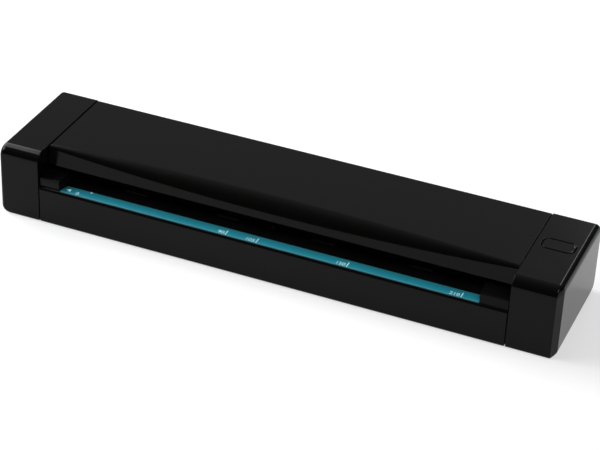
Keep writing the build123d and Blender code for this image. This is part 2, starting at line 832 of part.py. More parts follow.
# Upper paper guide: the cover's inner plate, over the paper
with BuildPart() as upper_paper_guide:
    roof_front = cover_front + wall + fit_gap
    roof_rear = back - roof_rear_inset
    slope_top = cover_front_low - fit_gap
    roof_corners = [
        (roof_front, slope_top),
        (roof_front + roof_slope_length, path_roof),
        (roof_rear - exit_flare, path_roof),
        (roof_rear, path_roof + exit_flare),
        (roof_rear, roof_top + exit_flare),
        (roof_rear - exit_flare, roof_top),
        (roof_front + roof_slope_length, roof_top),
        (roof_front, slope_top + guide_thickness),
    ]
    with BuildSketch(Plane.YZ.offset(path_centre - roof_half)):
        with BuildLine():
            Polyline(*roof_corners, close=True)
        make_face()
    extrude(amount=2 * roof_half)
    # Troughs for the pinch rollers' shafts
    with BuildSketch(Plane.YZ.offset(path_centre - roof_half)):
        with Locations((feed_roller_y, pinch_z), (exit_roller_y, pinch_z)):
            Circle(pinch_shaft_radius + pinch_gap)
    extrude(amount=2 * roof_half, mode=Mode.SUBTRACT)
    # Windows for the pinch rollers, the scan glass and the sensor lever
    with BuildSketch(Plane.XY.offset(path_roof)):
        with Locations(*[(x, y) for x in roller_xs for y in (feed_roller_y, exit_roller_y)]):
            Rectangle(pinch_length + 2 * window_play, 2 * (pinch_radius + window_play))
        with Locations((path_centre, upper_unit_y)):
            Rectangle(neck_length + 2 * neck_play, neck_width + 2 * neck_play)
        with Locations((path_centre, roof_front)):
            Rectangle(
                lever_thickness + 2 * lever_slot_play,
                lever_slot_length,
                align=(Align.CENTER, Align.MIN),
            )
    extrude(amount=slope_top + guide_thickness - path_roof, mode=Mode.SUBTRACT)
    with BuildSketch(Plane.XY.offset(path_roof)):
        with Locations((path_centre, upper_white_y)):
            Rectangle(glass_length + 2 * fit_gap, white_strip_width + 2 * fit_gap)
    extrude(amount=white_strip_thickness, mode=Mode.SUBTRACT)
    with BuildSketch(Plane.XY.offset(path_roof)):
        with Locations(*cover_screw_points):
            Circle(screw_radius + screw_hole_play)
    extrude(amount=guide_thickness, mode=Mode.SUBTRACT)
    with BuildSketch(Plane.XY.offset(path_roof)):
        with Locations(*cover_screw_points):
            Circle(screw_head_radius + head_play)
    extrude(amount=screw_recess, mode=Mode.SUBTRACT)
    # Ears with open slots that the pinch rollers' shafts lie in
    for ear_x in bracket_xs:
        with BuildSketch(Plane.YZ.offset(ear_x - bracket_thickness / 2)):
            with Locations((feed_roller_y, path_roof + fit_gap), (exit_roller_y, path_roof + fit_gap)):
                Rectangle(
                    bracket_width,
                    bracket_top - path_roof - fit_gap,
                    align=(Align.CENTER, Align.MIN),
                )
            with Locations((feed_roller_y, pinch_z), (exit_roller_y, pinch_z)):
                Circle(pinch_shaft_radius + running_gap, mode=Mode.SUBTRACT)
                Rectangle(
                    2 * (pinch_shaft_radius + running_gap),
                    bracket_width,
                    align=(Align.CENTER, Align.MIN),
                    mode=Mode.SUBTRACT,
                )
        extrude(amount=bracket_thickness)
upper_paper_guide.part.label = "upper_paper_guide"
export_step(upper_paper_guide.part, "parts/upper_paper_guide.step")


def scan_unit(level, unit_y, facing):
    """The five pieces of a scan unit whose glass faces up (1) or down (-1) at unit_y."""
    glass_z = path_height if facing > 0 else path_roof
    section = Plane(origin=(unit_left, unit_y, glass_z), x_dir=(0, facing, 0), z_dir=(1, 0, 0))
    neck_section = section.offset((unit_length - neck_length) / 2)
    glass_section = section.offset((unit_length - glass_length) / 2)
    neck_height = block_top - path_roof + neck_rise
    bay_floor = -glass_thickness - light_bay_depth
    board_top = -unit_height + board_thickness

    with BuildPart() as housing:
        with BuildSketch(section):
            with Locations((0, -neck_height)):
                Rectangle(unit_width, unit_height - neck_height, align=(Align.CENTER, Align.MAX))
        extrude(amount=unit_length)
        with BuildSketch(neck_section):
            Rectangle(neck_width, neck_height, align=(Align.CENTER, Align.MAX))
        extrude(amount=neck_length)
        with BuildSketch(glass_section):
            Rectangle(glass_width, glass_thickness, align=(Align.CENTER, Align.MAX))
            with Locations((0, -glass_thickness)):
                Rectangle(light_bay_width, light_bay_depth, align=(Align.CENTER, Align.MAX))
            with Locations((0, bay_floor)):
                Rectangle(
                    lens_width + 2 * lens_play,
                    bay_floor - board_top,
                    align=(Align.CENTER, Align.MAX),
                )
            with Locations((0, board_top)):
                Rectangle(sensor_board_width, board_thickness, align=(Align.CENTER, Align.MAX))
        extrude(amount=glass_length, mode=Mode.SUBTRACT)
    housing.part.label = f"{level}_scan_housing"
    export_step(housing.part, f"parts/{level}_scan_housing.step")

    with BuildPart() as glass:
        with BuildSketch(glass_section):
            Rectangle(glass_width, glass_thickness, align=(Align.CENTER, Align.MAX))
        extrude(amount=glass_length)
    glass.part.label = f"{level}_scan_glass"
    export_step(glass.part, f"parts/{level}_scan_glass.step")

    with BuildPart() as light_guide:
        with BuildSketch(glass_section):
            with Locations((light_guide_y, bay_floor)):
                Rectangle(light_guide_width, light_guide_height, align=(Align.CENTER, Align.MIN))
        extrude(amount=glass_length)
    light_guide.part.label = f"{level}_light_guide"
    export_step(light_guide.part, f"parts/{level}_light_guide.step")

    with BuildPart() as lens_array:
        with BuildSketch(glass_section):
            with Locations((0, board_top + lens_lift)):
                Rectangle(lens_width, lens_height, align=(Align.CENTER, Align.MIN))
        extrude(amount=glass_length)
    lens_array.part.label = f"{level}_lens_array"
    export_step(lens_array.part, f"parts/{level}_lens_array.step")

    with BuildPart() as sensor_board:
        with BuildSketch(glass_section):
            with Locations((0, board_top)):
                Rectangle(sensor_board_width, board_thickness, align=(Align.CENTER, Align.MAX))
        extrude(amount=glass_length)
    sensor_board.part.label = f"{level}_sensor_board"
    export_step(sensor_board.part, f"parts/{level}_sensor_board.step")


scan_unit("lower", lower_unit_y, 1)
scan_unit("upper", upper_unit_y, -1)


# White backing strips, each facing the other side's scan unit
with BuildPart() as lower_white_strip:
    with BuildSketch(Plane.XY.offset(path_height - white_strip_thickness)):
        with Locations((path_centre, lower_white_y)):
            Rectangle(glass_length, white_strip_width)
    extrude(amount=white_strip_thickness)
lower_white_strip.part.label = "lower_white_strip"
export_step(lower_white_strip.part, "parts/lower_white_strip.step")

with BuildPart() as upper_white_strip:
    with BuildSketch(Plane.XY.offset(path_roof)):
        with Locations((path_centre, upper_white_y)):
            Rectangle(glass_length, white_strip_width)
    extrude(amount=white_strip_thickness)
upper_white_strip.part.label = "upper_white_strip"
export_step(upper_white_strip.part, "parts/upper_white_strip.step")


def driven_roller(level, roller_y, turn):
    """A driven roller: steel shaft, rubber sleeves and the gear on its left end."""
    with BuildPart() as shaft:
        with BuildSketch(Plane.YZ.offset(feed_shaft_left)):
            with Locations((roller_y, roller_z)):
                Circle(shaft_radius)
        extrude(amount=feed_shaft_right - feed_shaft_left)
    shaft.part.label = f"{level}_roller_shaft"
    export_step(shaft.part, f"parts/{level}_roller_shaft.step")

    with BuildPart() as sleeves:
        for x in roller_xs:
            with BuildSketch(Plane.YZ.offset(x - roller_length / 2)):
                with Locations((roller_y, roller_z)):
                    Circle(roller_radius)
                    Circle(shaft_radius, mode=Mode.SUBTRACT)
            extrude(amount=roller_length)
    sleeves.part.label = f"{level}_roller_sleeves"
    export_step(sleeves.part, f"parts/{level}_roller_sleeves.step")

    with BuildPart() as gear:
        with BuildSketch(Plane.YZ.offset(inner_layer - gear_width)):
            with Locations((roller_y, roller_z)):
                add(gear_outline(feed_teeth, turn))
                Circle(shaft_radius, mode=Mode.SUBTRACT)
        extrude(amount=gear_width)
    gear.part.label = f"{level}_roller_gear"
    export_step(gear.part, f"parts/{level}_roller_gear.step")


driven_roller("feed", feed_roller_y, feed_turn)
driven_roller("exit", exit_roller_y, exit_turn)


# Idler gear between the two rollers' gears
with BuildPart() as idler_gear:
    with BuildSketch(Plane.YZ.offset(inner_layer - gear_width)):
        with Locations((idler_y, roller_z)):
            add(gear_outline(idler_teeth, idler_turn))
            Circle(axle_radius + running_gap, mode=Mode.SUBTRACT)
    extrude(amount=gear_width)
idler_gear.part.label = "idler_gear"
export_step(idler_gear.part, "parts/idler_gear.step")


# Reduction gear: a large wheel and a small one in one piece
with BuildPart() as reduction_gear:
    with BuildSketch(Plane.YZ.offset(inner_layer - gear_width)):
        with Locations((reduction_y, reduction_z)):
            add(gear_outline(reduction_small_teeth, reduction_turn))
    extrude(amount=gear_width)
    with BuildSketch(Plane.YZ.offset(inner_layer - gear_width)):
        with Locations((reduction_y, reduction_z)):
            Circle(motor_boss_radius)
    extrude(amount=-layer_gap)
    with BuildSketch(Plane.YZ.offset(outer_layer - gear_width)):
        with Locations((reduction_y, reduction_z)):
            add(gear_outline(reduction_large_teeth, reduction_turn))
    extrude(amount=gear_width)
    with BuildSketch(Plane.YZ.offset(outer_layer - gear_width)):
        with Locations((reduction_y, reduction_z)):
            Circle(axle_radius + running_gap)
    extrude(amount=inner_layer - outer_layer + gear_width, mode=Mode.SUBTRACT)
reduction_gear.part.label = "reduction_gear"
export_step(reduction_gear.part, "parts/reduction_gear.step")


# Motor: can and boss with a bore for its shaft
with BuildPart() as drive_motor:
    with BuildSketch(Plane.YZ.offset(left_seam)):
        with Locations((motor_y, motor_z)):
            Circle(motor_radius)
    extrude(amount=motor_length)
    fillet(drive_motor.edges().group_by(Axis.X)[-1], radius=motor_edge)
    with BuildSketch(Plane.YZ.offset(left_seam)):
        with Locations((motor_y, motor_z)):
            Circle(motor_boss_radius)
    extrude(amount=-motor_boss_length)
    with BuildSketch(Plane.YZ.offset(left_seam - motor_boss_length)):
        with Locations((motor_y, motor_z)):
            Circle(motor_shaft_radius + running_gap)
    extrude(amount=motor_boss_length + motor_length / 2, mode=Mode.SUBTRACT)
    with BuildSketch(Plane.YZ.offset(left_seam)):
        with Locations(*motor_screw_points):
            Circle(screw_radius + screw_hole_play)
    extrude(amount=motor_screw_length, mode=Mode.SUBTRACT)
drive_motor.part.label = "drive_motor"
export_step(drive_motor.part, "parts/drive_motor.step")

with BuildPart() as motor_shaft:
    with BuildSketch(Plane.YZ.offset(outer_layer - gear_width - end_play)):
        with Locations((motor_y, motor_z)):
            Circle(motor_shaft_radius)
    extrude(amount=left_seam + motor_length / 2 - end_play - outer_layer + gear_width + end_play)
motor_shaft.part.label = "motor_shaft"
export_step(motor_shaft.part, "parts/motor_shaft.step")

with BuildPart() as motor_pinion:
    with BuildSketch(Plane.YZ.offset(outer_layer - gear_width)):
        with Locations((motor_y, motor_z)):
            add(gear_outline(pinion_teeth, pinion_turn))
            Circle(motor_shaft_radius, mode=Mode.SUBTRACT)
    extrude(amount=gear_width)
motor_pinion.part.label = "motor_pinion"
export_step(motor_pinion.part, "parts/motor_pinion.step")


# Bushes that the driven rollers turn in, flanged on the caps' side
with BuildPart() as roller_bushes:
    for frame_x, outward in ((left_seam, -1), (right_seam, 1)):
        with BuildSketch(Plane.YZ.offset(frame_x)):
            with Locations((feed_roller_y, roller_z), (exit_roller_y, roller_z)):
                Circle(bush_radius)
        extrude(amount=outward * frame_thickness)
        with BuildSketch(Plane.YZ.offset(frame_x + outward * frame_thickness)):
            with Locations((feed_roller_y, roller_z), (exit_roller_y, roller_z)):
                Circle(bush_flange_radius)
        extrude(amount=outward * bush_flange)
        with BuildSketch(Plane.YZ.offset(frame_x)):
            with Locations((feed_roller_y, roller_z), (exit_roller_y, roller_z)):
                Circle(shaft_radius + running_gap)
        extrude(amount=outward * (frame_thickness + bush_flange), mode=Mode.SUBTRACT)
roller_bushes.part.label = "roller_bushes"
export_step(roller_bushes.part, "parts/roller_bushes.step")


# Fixed axles of the idler and the reduction gear, with the clips that keep the gears on
axle_ends = (
    ((idler_y, roller_z), inner_layer - gear_width - end_play),
    ((reduction_y, reduction_z), outer_layer - gear_width - end_play),
)
with BuildPart() as gear_axles:
    for centre, clip_x in axle_ends:
        with BuildSketch(Plane.YZ.offset(left_seam)):
            with Locations(centre):
                Circle(axle_radius)
        extrude(amount=clip_x - 2 * clip_thickness - left_seam)
gear_axles.part.label = "gear_axles"
export_step(gear_axles.part, "parts/gear_axles.step")

with BuildPart() as axle_clips:
    for centre, clip_x in axle_ends:
        with BuildSketch(Plane.YZ.offset(clip_x)):
            with Locations(centre):
                Circle(clip_radius)
                Circle(axle_radius, mode=Mode.SUBTRACT)
        extrude(amount=-clip_thickness)
axle_clips.part.label = "axle_clips"
export_step(axle_clips.part, "parts/axle_clips.step")


def pinch_roller(level, roller_y):
    """A free roller in the cover that presses the paper on a driven roller."""
    reach = pinch_length / 2 + window_play + bracket_thickness + end_play
    with BuildPart() as shaft:
        with BuildSketch(Plane.YZ.offset(roller_xs[0] - reach)):
            with Locations((roller_y, pinch_z)):
                Circle(pinch_shaft_radius)
        extrude(amount=roller_xs[-1] - roller_xs[0] + 2 * reach)
    shaft.part.label = f"{level}_pinch_shaft"
    export_step(shaft.part, f"parts/{level}_pinch_shaft.step")

    with BuildPart() as sleeves:
        for x in roller_xs:
            with BuildSketch(Plane.YZ.offset(x - pinch_length / 2)):
                with Locations((roller_y, pinch_z)):
                    Circle(pinch_radius)
                    Circle(pinch_shaft_radius, mode=Mode.SUBTRACT)
            extrude(amount=pinch_length)
    sleeves.part.label = f"{level}_pinch_sleeves"
    export_step(sleeves.part, f"parts/{level}_pinch_sleeves.step")


pinch_roller("feed", feed_roller_y)
pinch_roller("exit", exit_roller_y)


# Leaf springs on the ears, over the pinch rollers' shafts
with BuildPart() as pinch_springs:
    with BuildSketch(Plane.XY.offset(bracket_top)):
        with Locations(*[(x, y) for x in bracket_xs for y in (feed_roller_y, exit_roller_y)]):
            Rectangle(bracket_thickness, leaf_length)
    extrude(amount=leaf_thickness)
pinch_springs.part.label = "pinch_springs"
export_step(pinch_springs.part, "parts/pinch_springs.step")


# Hinge pins, pushed in from the caps' side
with BuildPart() as hinge_pins:
    for frame_x, outward in ((left_frame_outer, -1), (right_frame_outer, 1)):
        with BuildSketch(Plane.YZ.offset(frame_x)):
            with Locations((hinge_y, hinge_z)):
                Circle(pin_head_radius)
        extrude(amount=outward * pin_head_height)
        with BuildSketch(Plane.YZ.offset(frame_x)):
            with Locations((hinge_y, hinge_z)):
                Circle(hinge_pin_radius)
        extrude(amount=-outward * hinge_pin_length)
hinge_pins.part.label = "hinge_pins"
export_step(hinge_pins.part, "parts/hinge_pins.step")


# Catches that hang from the cover, and the leaf springs that grip them
with BuildPart() as cover_catches:
    with BuildSketch(Plane.XY.offset(cover_ceiling)):
        with Locations(*[(x, catch_y) for x in catch_xs]):
            Rectangle(catch_width, catch_thickness)
    extrude(amount=block_top - catch_depth - cover_ceiling)
    catch_ends = cover_catches.edges().group_by(Axis.Z)[0].filter_by(Axis.X)
    chamfer(catch_ends, length=catch_chamfer)
cover_catches.part.label = "cover_catches"
export_step(cover_catches.part, "parts/cover_catches.step")

with BuildPart() as catch_springs:
    with BuildSketch(Plane.XY.offset(block_top - catch_depth - catch_play)):
        for side in (-1, 1):
            y = catch_y + side * (catch_pocket_width - catch_spring_thickness) / 2
            with Locations(*[(x, y) for x in catch_xs]):
                Rectangle(catch_width, catch_spring_thickness)
    extrude(amount=catch_depth + catch_play / 2)
catch_springs.part.label = "catch_springs"
export_step(catch_springs.part, "parts/catch_springs.step")


# Paper sensor: a tilting lever, and the light gate that its flag hangs in
with BuildPart() as paper_sensor_lever:
    with BuildSketch(Plane.YZ.offset(path_centre - lever_thickness / 2)):
        with BuildLine():
            Polyline(
                (lever_y - lever_width / 2, lever_z),
                (lever_y + lever_lean - lever_width / 2, lever_z + lever_rise),
                (lever_y + lever_lean + lever_width / 2, lever_z + lever_rise),
                (lever_y + lever_width / 2, lever_z),
                (lever_y + lever_flag_width / 2, lever_z - lever_drop),
                (lever_y - lever_flag_width / 2, lever_z - lever_drop),
                close=True,
            )
        make_face()
        with Locations((lever_y, lever_z)):
            Circle(lever_hub_radius)
    extrude(amount=lever_thickness)
    with BuildSketch(Plane.YZ.offset(path_centre - lever_axle_length / 2)):
        with Locations((lever_y, lever_z)):
            Circle(lever_axle_radius)
    extrude(amount=lever_axle_length)
paper_sensor_lever.part.label = "paper_sensor_lever"
export_step(paper_sensor_lever.part, "parts/paper_sensor_lever.step")

with BuildPart() as light_gate:
    with BuildSketch(Plane.XY.offset(floor_top)):
        with Locations((path_centre, lever_y)):
            Rectangle(gate_length, gate_width)
    extrude(amount=gate_height)
    with BuildSketch(Plane.XY.offset(floor_top + gate_base)):
        with Locations((path_centre, lever_y)):
            Rectangle(gate_slot, gate_width)
    extrude(amount=gate_height - gate_base, mode=Mode.SUBTRACT)
light_gate.part.label = "light_gate"
export_step(light_gate.part, "parts/light_gate.step")


# Scan button: the cap with its flange and stem, and the switch under it
with BuildPart() as scan_button:
    with BuildSketch(Plane.XY.offset(high)):
        with Locations((button_x, button_y)):
            RectangleRounded(button_length, button_width, button_corner)
    extrude(amount=button_flange_top - high)
    fillet(scan_button.edges().group_by(Axis.Z)[-1], radius=button_edge)
    with BuildSketch(Plane.XY.offset(button_flange_top)):
        with Locations((button_x, button_y)):
            RectangleRounded(
                button_length + 2 * button_flange,
                button_width + 2 * button_flange,
                button_corner + button_flange,
            )
    extrude(amount=-button_flange_height)
    with BuildSketch(Plane.XY.offset(button_stem_low)):
        with Locations((button_x, button_y)):
            Circle(button_stem_radius)
    extrude(amount=button_stem_length)
scan_button.part.label = "scan_button"
export_step(scan_button.part, "parts/scan_button.step")

with BuildPart() as switch_plunger:
    with BuildSketch(Plane.XY.offset(button_stem_low)):
        with Locations((button_x, button_y)):
            Circle(plunger_radius)
    extrude(amount=-plunger_height)
switch_plunger.part.label = "switch_plunger"
export_step(switch_plunger.part, "parts/switch_plunger.step")

with BuildPart() as button_switch:
    with BuildSketch(Plane.XY.offset(button_board_z + board_thickness)):
        with Locations((button_x, button_y)):
            Rectangle(switch_size, switch_size)
            Circle(plunger_radius + running_gap, mode=Mode.SUBTRACT)
    extrude(amount=switch_height)
button_switch.part.label = "button_switch"
export_step(button_switch.part, "parts/button_switch.step")

with BuildPart() as button_board:
    with BuildSketch(Plane.XY.offset(button_board_z)):
        with Locations((button_x, button_y)):
            Rectangle(button_board_length, button_board_width)
        with Locations(*[(button_x, y) for y in button_post_ys]):
            Circle(screw_radius + screw_hole_play, mode=Mode.SUBTRACT)
    extrude(amount=board_thickness)
button_board.part.label = "button_board"
export_step(button_board.part, "parts/button_board.step")


# Main board with its chip and sockets
with BuildPart() as main_board:
    with BuildSketch(Plane.YZ.offset(board_x)):
        with Locations(((board_front + board_back) / 2, (board_low + board_high) / 2)):
            Rectangle(board_back - board_front, board_high - board_low)
        with Locations(*board_screw_points):
            Circle(screw_radius + screw_hole_play, mode=Mode.SUBTRACT)
    extrude(amount=board_thickness)
main_board.part.label = "main_board"
export_step(main_board.part, "parts/main_board.step")

with BuildPart() as main_processor:
    with BuildSketch(Plane.YZ.offset(board_face)):
        with Locations((idler_y, (board_low + board_high) / 2)):
            Rectangle(processor_size, processor_size)
    extrude(amount=chip_height)
main_processor.part.label = "main_processor"
export_step(main_processor.part, "parts/main_processor.step")

with BuildPart() as usb_socket:
    with BuildSketch(Plane.XZ.offset(-(back - socket_inset))):
        with Locations((board_face + socket_thickness / 2, socket_z)):
            RectangleRounded(socket_thickness, socket_height, socket_corner)
    extrude(amount=socket_depth)
    with BuildSketch(Plane.XZ.offset(-(back - socket_inset))):
        with Locations((board_face + socket_thickness / 2, socket_z)):
            Rectangle(socket_thickness - 2 * socket_shell, socket_height - 2 * socket_shell)
    extrude(amount=socket_depth - socket_shell, mode=Mode.SUBTRACT)
    with BuildSketch(Plane.XZ.offset(-(back - socket_inset - socket_depth + socket_shell))):
        with Locations((board_face + socket_thickness / 2, socket_z)):
            Rectangle(tongue_thickness, tongue_width)
    extrude(amount=-tongue_length)
usb_socket.part.label = "usb_socket"
export_step(usb_socket.part, "parts/usb_socket.step")

with BuildPart() as board_connectors:
    with BuildSketch(Plane.YZ.offset(board_face)):
        with Locations((lower_unit_y, board_low)):
            Rectangle(
                ribbon_width + 2 * ribbon_connector_side,
                ribbon_connector_height,
                align=(Align.CENTER, Align.MIN),
            )
    extrude(amount=ribbon_connector_reach)
    with BuildSketch(Plane.YZ.offset(board_face)):
        with Locations((plug_y, board_low)):
            Rectangle(plug_width, plug_height, align=(Align.MIN, Align.MIN))
    extrude(amount=plug_reach)
board_connectors.part.label = "board_connectors"
export_step(board_connectors.part, "parts/board_connectors.step")


# Flat ribbon from the lower scan unit to the main board
ribbon_top_z = path_height - unit_height - ribbon_thickness / 2
ribbon_end_z = board_low + ribbon_connector_height / 2
ribbon_turn_x = board_face + ribbon_connector_reach + ribbon_bend + ribbon_thickness
with BuildPart() as lower_sensor_ribbon:
    with BuildLine() as ribbon_path:
        FilletPolyline(
            (unit_left + unit_length - ribbon_foot, lower_unit_y, ribbon_top_z),
            (unit_left + unit_length + ribbon_bend, lower_unit_y, ribbon_top_z),
            (tub_right - 2 * ribbon_bend, lower_unit_y, ribbon_low_z),
            (ribbon_turn_x, lower_unit_y, ribbon_low_z),
            (ribbon_turn_x, lower_unit_y, ribbon_end_z),
            (board_face + ribbon_connector_reach, lower_unit_y, ribbon_end_z),
            radius=ribbon_bend,
        )
    start = ribbon_path.line @ 0
    with BuildSketch(Plane(origin=start, x_dir=(0, 1, 0), z_dir=(1, 0, 0))):
        Rectangle(ribbon_width, ribbon_thickness)
    sweep(path=ribbon_path.line)
lower_sensor_ribbon.part.label = "lower_sensor_ribbon"
export_step(lower_sensor_ribbon.part, "parts/lower_sensor_ribbon.step")


# Motor cable along the front of the tub
cable_low_z = floor_top + cable_radius + fit_gap
plug_x = board_face + plug_reach / 2
with BuildPart() as motor_cable:
    with BuildLine() as cable_path:
        FilletPolyline(
            (motor_back, motor_y, motor_z),
            (motor_back + cable_lead, motor_y, motor_z),
            (motor_back + cable_lead + cable_drop, cable_run_y, cable_low_z),
            (tub_right - cable_pass - cable_rise, cable_run_y, cable_low_z),
            (tub_right - cable_pass, cable_cross_y, cable_cross_z),
            (plug_x, cable_cross_y, cable_cross_z),
            (plug_x, cable_cross_y, board_low + plug_height / 2),
            (plug_x, plug_y, board_low + plug_height / 2),
            radius=cable_bend,
        )
    with BuildSketch(Plane(origin=cable_path.line @ 0, z_dir=cable_path.line % 0)):
        Circle(cable_radius)
    sweep(path=cable_path.line)
motor_cable.part.label = "motor_cable"
export_step(motor_cable.part, "parts/motor_cable.step")


# Feet and screws
with BuildPart() as rubber_feet:
    with BuildSketch():
        with Locations(*foot_points):
            Circle(foot_radius)
    extrude(amount=foot_rise + foot_recess)
    chamfer(rubber_feet.edges().group_by(Axis.Z)[0], length=foot_rise / 2)
rubber_feet.part.label = "rubber_feet"
export_step(rubber_feet.part, "parts/rubber_feet.step")

cap_head_z = low + screw_recess - screw_head_height
cap_screws = screws(Plane.XY.offset(cap_head_z), 1, cap_screw_points, cap_screw_length)
guide_screws = screws(Plane.XY.offset(guide_head_z), 1, guide_screw_points, guide_screw_length)
with BuildPart() as case_screws:
    add(cap_screws.part)
    add(guide_screws.part)
case_screws.part.label = "case_screws"
export_step(case_screws.part, "parts/case_screws.step")

cover_head_z = path_roof + screw_recess - screw_head_height
cover_screws = screws(Plane.XY.offset(cover_head_z), 1, cover_screw_points, cover_screw_length)
cover_screws.part.label = "cover_screws"
export_step(cover_screws.part, "parts/cover_screws.step")

left_head_x = left_frame_outer - screw_head_height
right_head_x = right_frame_outer + screw_head_height
left_frame_screws = screws(Plane.YZ.offset(left_head_x), 1, frame_screw_points, frame_screw_length)
right_frame_screws = screws(Plane.YZ.offset(right_head_x), -1, frame_screw_points, frame_screw_length)
motor_screws = screws(Plane.YZ.offset(left_head_x), 1, motor_screw_points, motor_screw_bite)
with BuildPart() as frame_screws:
    add(left_frame_screws.part)
    add(right_frame_screws.part)
    add(motor_screws.part)
frame_screws.part.label = "frame_screws"
export_step(frame_screws.part, "parts/frame_screws.step")

main_board_screws = screws(
    Plane.YZ.offset(board_face + screw_head_height), -1, board_screw_points, board_screw_length
)
button_board_screws = screws(
    Plane.XY.offset(button_board_z - screw_head_height),
    1,
    [(button_x, y) for y in button_post_ys],
    board_screw_length,
)
with BuildPart() as board_screws:
    add(main_board_screws.part)
    add(button_board_screws.part)
board_screws.part.label = "board_screws"
export_step(board_screws.part, "parts/board_screws.step")
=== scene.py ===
import bmesh
import bpy
import json
from itertools import pairwise
from math import cos, pi, radians, sin, sqrt, tan
from mathutils import Matrix, Vector


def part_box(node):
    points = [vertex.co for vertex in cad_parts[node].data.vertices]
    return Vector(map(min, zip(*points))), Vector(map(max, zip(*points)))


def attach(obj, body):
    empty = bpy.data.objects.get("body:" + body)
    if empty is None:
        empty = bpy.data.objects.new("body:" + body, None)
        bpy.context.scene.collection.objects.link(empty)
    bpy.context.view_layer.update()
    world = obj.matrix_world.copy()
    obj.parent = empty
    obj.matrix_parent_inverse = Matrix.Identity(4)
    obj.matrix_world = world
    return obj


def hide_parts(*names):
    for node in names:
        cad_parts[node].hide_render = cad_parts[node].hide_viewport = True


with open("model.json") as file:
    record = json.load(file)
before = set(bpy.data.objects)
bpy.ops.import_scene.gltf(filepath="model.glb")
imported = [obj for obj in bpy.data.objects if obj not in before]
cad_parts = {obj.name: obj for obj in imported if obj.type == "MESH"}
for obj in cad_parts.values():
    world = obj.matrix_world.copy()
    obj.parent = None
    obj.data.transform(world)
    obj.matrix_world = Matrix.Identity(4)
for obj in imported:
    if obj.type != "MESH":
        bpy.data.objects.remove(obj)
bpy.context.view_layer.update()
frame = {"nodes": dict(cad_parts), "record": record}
nodes = frame["nodes"]
bodies = frame["record"]["behaviour"]["bodies"]
body_of = {node: body for body, members in bodies.items() for node in members}
slot_of = {row["node"]: row["material_slot"] for row in frame["record"]["subparts"]}
MM = 0.001

# Materials, in metres
DRIFT_SCALE = 60.0
GRAIN_DETAIL = 6.0
RELIEF_DEPTH = 0.0001
# Teal strip colour from front to back: a painted highlight at the front edge, then painted shade
# darkening towards the rear
TEAL_PAINTED_LIGHT_Y = (-0.0311, -0.0251)
TEAL_PAINTED_LIGHT = [
    (0.0, (0.07, 0.25, 0.3)),
    (0.12, (0.012, 0.19, 0.25)),
    (0.5, (0.004, 0.165, 0.22)),
    (1.0, (0.014, 0.12, 0.145)),
]


def grey(value):
    return (value, value, value)


def noise(tree, scale, detail=4.0):
    """A noise texture. Its scale is in waves per metre."""
    texture = tree.nodes.new("ShaderNodeTexNoise")
    texture.inputs["Scale"].default_value = scale
    texture.inputs["Detail"].default_value = detail
    coordinates = tree.nodes.new("ShaderNodeTexCoord")
    tree.links.new(coordinates.outputs["Object"], texture.inputs["Vector"])
    return texture.outputs["Fac"]


def ramp(tree, source, stops):
    """A colour ramp through (place, colour) stops."""
    node = tree.nodes.new("ShaderNodeValToRGB")
    node.color_ramp.elements[0].position = stops[0][0]
    node.color_ramp.elements[1].position = stops[-1][0]
    for spot, _ in stops[1:-1]:
        node.color_ramp.elements.new(spot)
    for element, (_, colour) in zip(node.color_ramp.elements, stops):
        element.color = (*colour, 1.0)
    tree.links.new(source, node.inputs["Fac"])
    return node.outputs["Color"]


def drift(tree, source, first, last):
    """A colour that goes from the first to the last over the middle of a noise's range."""
    return ramp(tree, source, [(0.3, first), (0.7, last)])


def span(tree, space, axis, start, end):
    """The place along an axis of a coordinate space, from 0 at the start to 1 at the end."""
    parts = tree.nodes.new("ShaderNodeSeparateXYZ")
    coordinates = tree.nodes.new("ShaderNodeTexCoord")
    tree.links.new(coordinates.outputs[space], parts.inputs["Vector"])
    node = tree.nodes.new("ShaderNodeMapRange")
    node.inputs["From Min"].default_value = start
    node.inputs["From Max"].default_value = end
    tree.links.new(parts.outputs[axis], node.inputs["Value"])
    return node.outputs["Result"]


def product(tree, first, second):
    """Two colours multiplied."""
    node = tree.nodes.new("ShaderNodeVectorMath")
    node.operation = "MULTIPLY"
    tree.links.new(first, node.inputs[0])
    tree.links.new(second, node.inputs[1])
    return node.outputs["Vector"]


def bump(tree, shader, height, strength):
    """Fine relief from a height value."""
    node = tree.nodes.new("ShaderNodeBump")
    node.inputs["Strength"].default_value = strength
    node.inputs["Distance"].default_value = RELIEF_DEPTH
    tree.links.new(height, node.inputs["Height"])
    tree.links.new(node.outputs["Normal"], shader.inputs["Normal"])


def material(name):
    """A new material, its node tree and its main shader."""
    made = bpy.data.materials.new(name)
    made.use_nodes = True
    return made, made.node_tree, made.node_tree.nodes["Principled BSDF"]


def finish_of(name, dark, light, rough, grain, relief, metallic=0.0, specular=0.5):
    """A moulded, ground or rubbed surface: its colour and gloss drift, and its grain has relief."""
    made, tree, shader = material(name)
    colour = drift(tree, noise(tree, DRIFT_SCALE), dark, light)
    fine = noise(tree, grain, GRAIN_DETAIL)
    gloss = drift(tree, fine, grey(rough[0]), grey(rough[1]))
    tree.links.new(colour, shader.inputs["Base Color"])
    tree.links.new(gloss, shader.inputs["Roughness"])
    shader.inputs["Metallic"].default_value = metallic
    shader.inputs["Specular IOR Level"].default_value = specular
    bump(tree, shader, fine, relief)
    return made


def strip_teal():
    """Satin teal with a painted front-edge highlight and painted rear shade, its colour drifting
    along it.
    """
    made, tree, shader = material("teal_plastic")
    # Painted highlight at the strip's front edge and painted shade towards its rear
    painted_light = ramp(tree, span(tree, "Object", "Y", *TEAL_PAINTED_LIGHT_Y), TEAL_PAINTED_LIGHT)
    shade = drift(tree, noise(tree, DRIFT_SCALE), grey(0.92), grey(1.0))
    fine = noise(tree, 2500.0, GRAIN_DETAIL)
    gloss = drift(tree, fine, grey(0.3), grey(0.42))
    tree.links.new(product(tree, painted_light, shade), shader.inputs["Base Color"])
    tree.links.new(gloss, shader.inputs["Roughness"])
    bump(tree, shader, fine, 0.1)
    return made


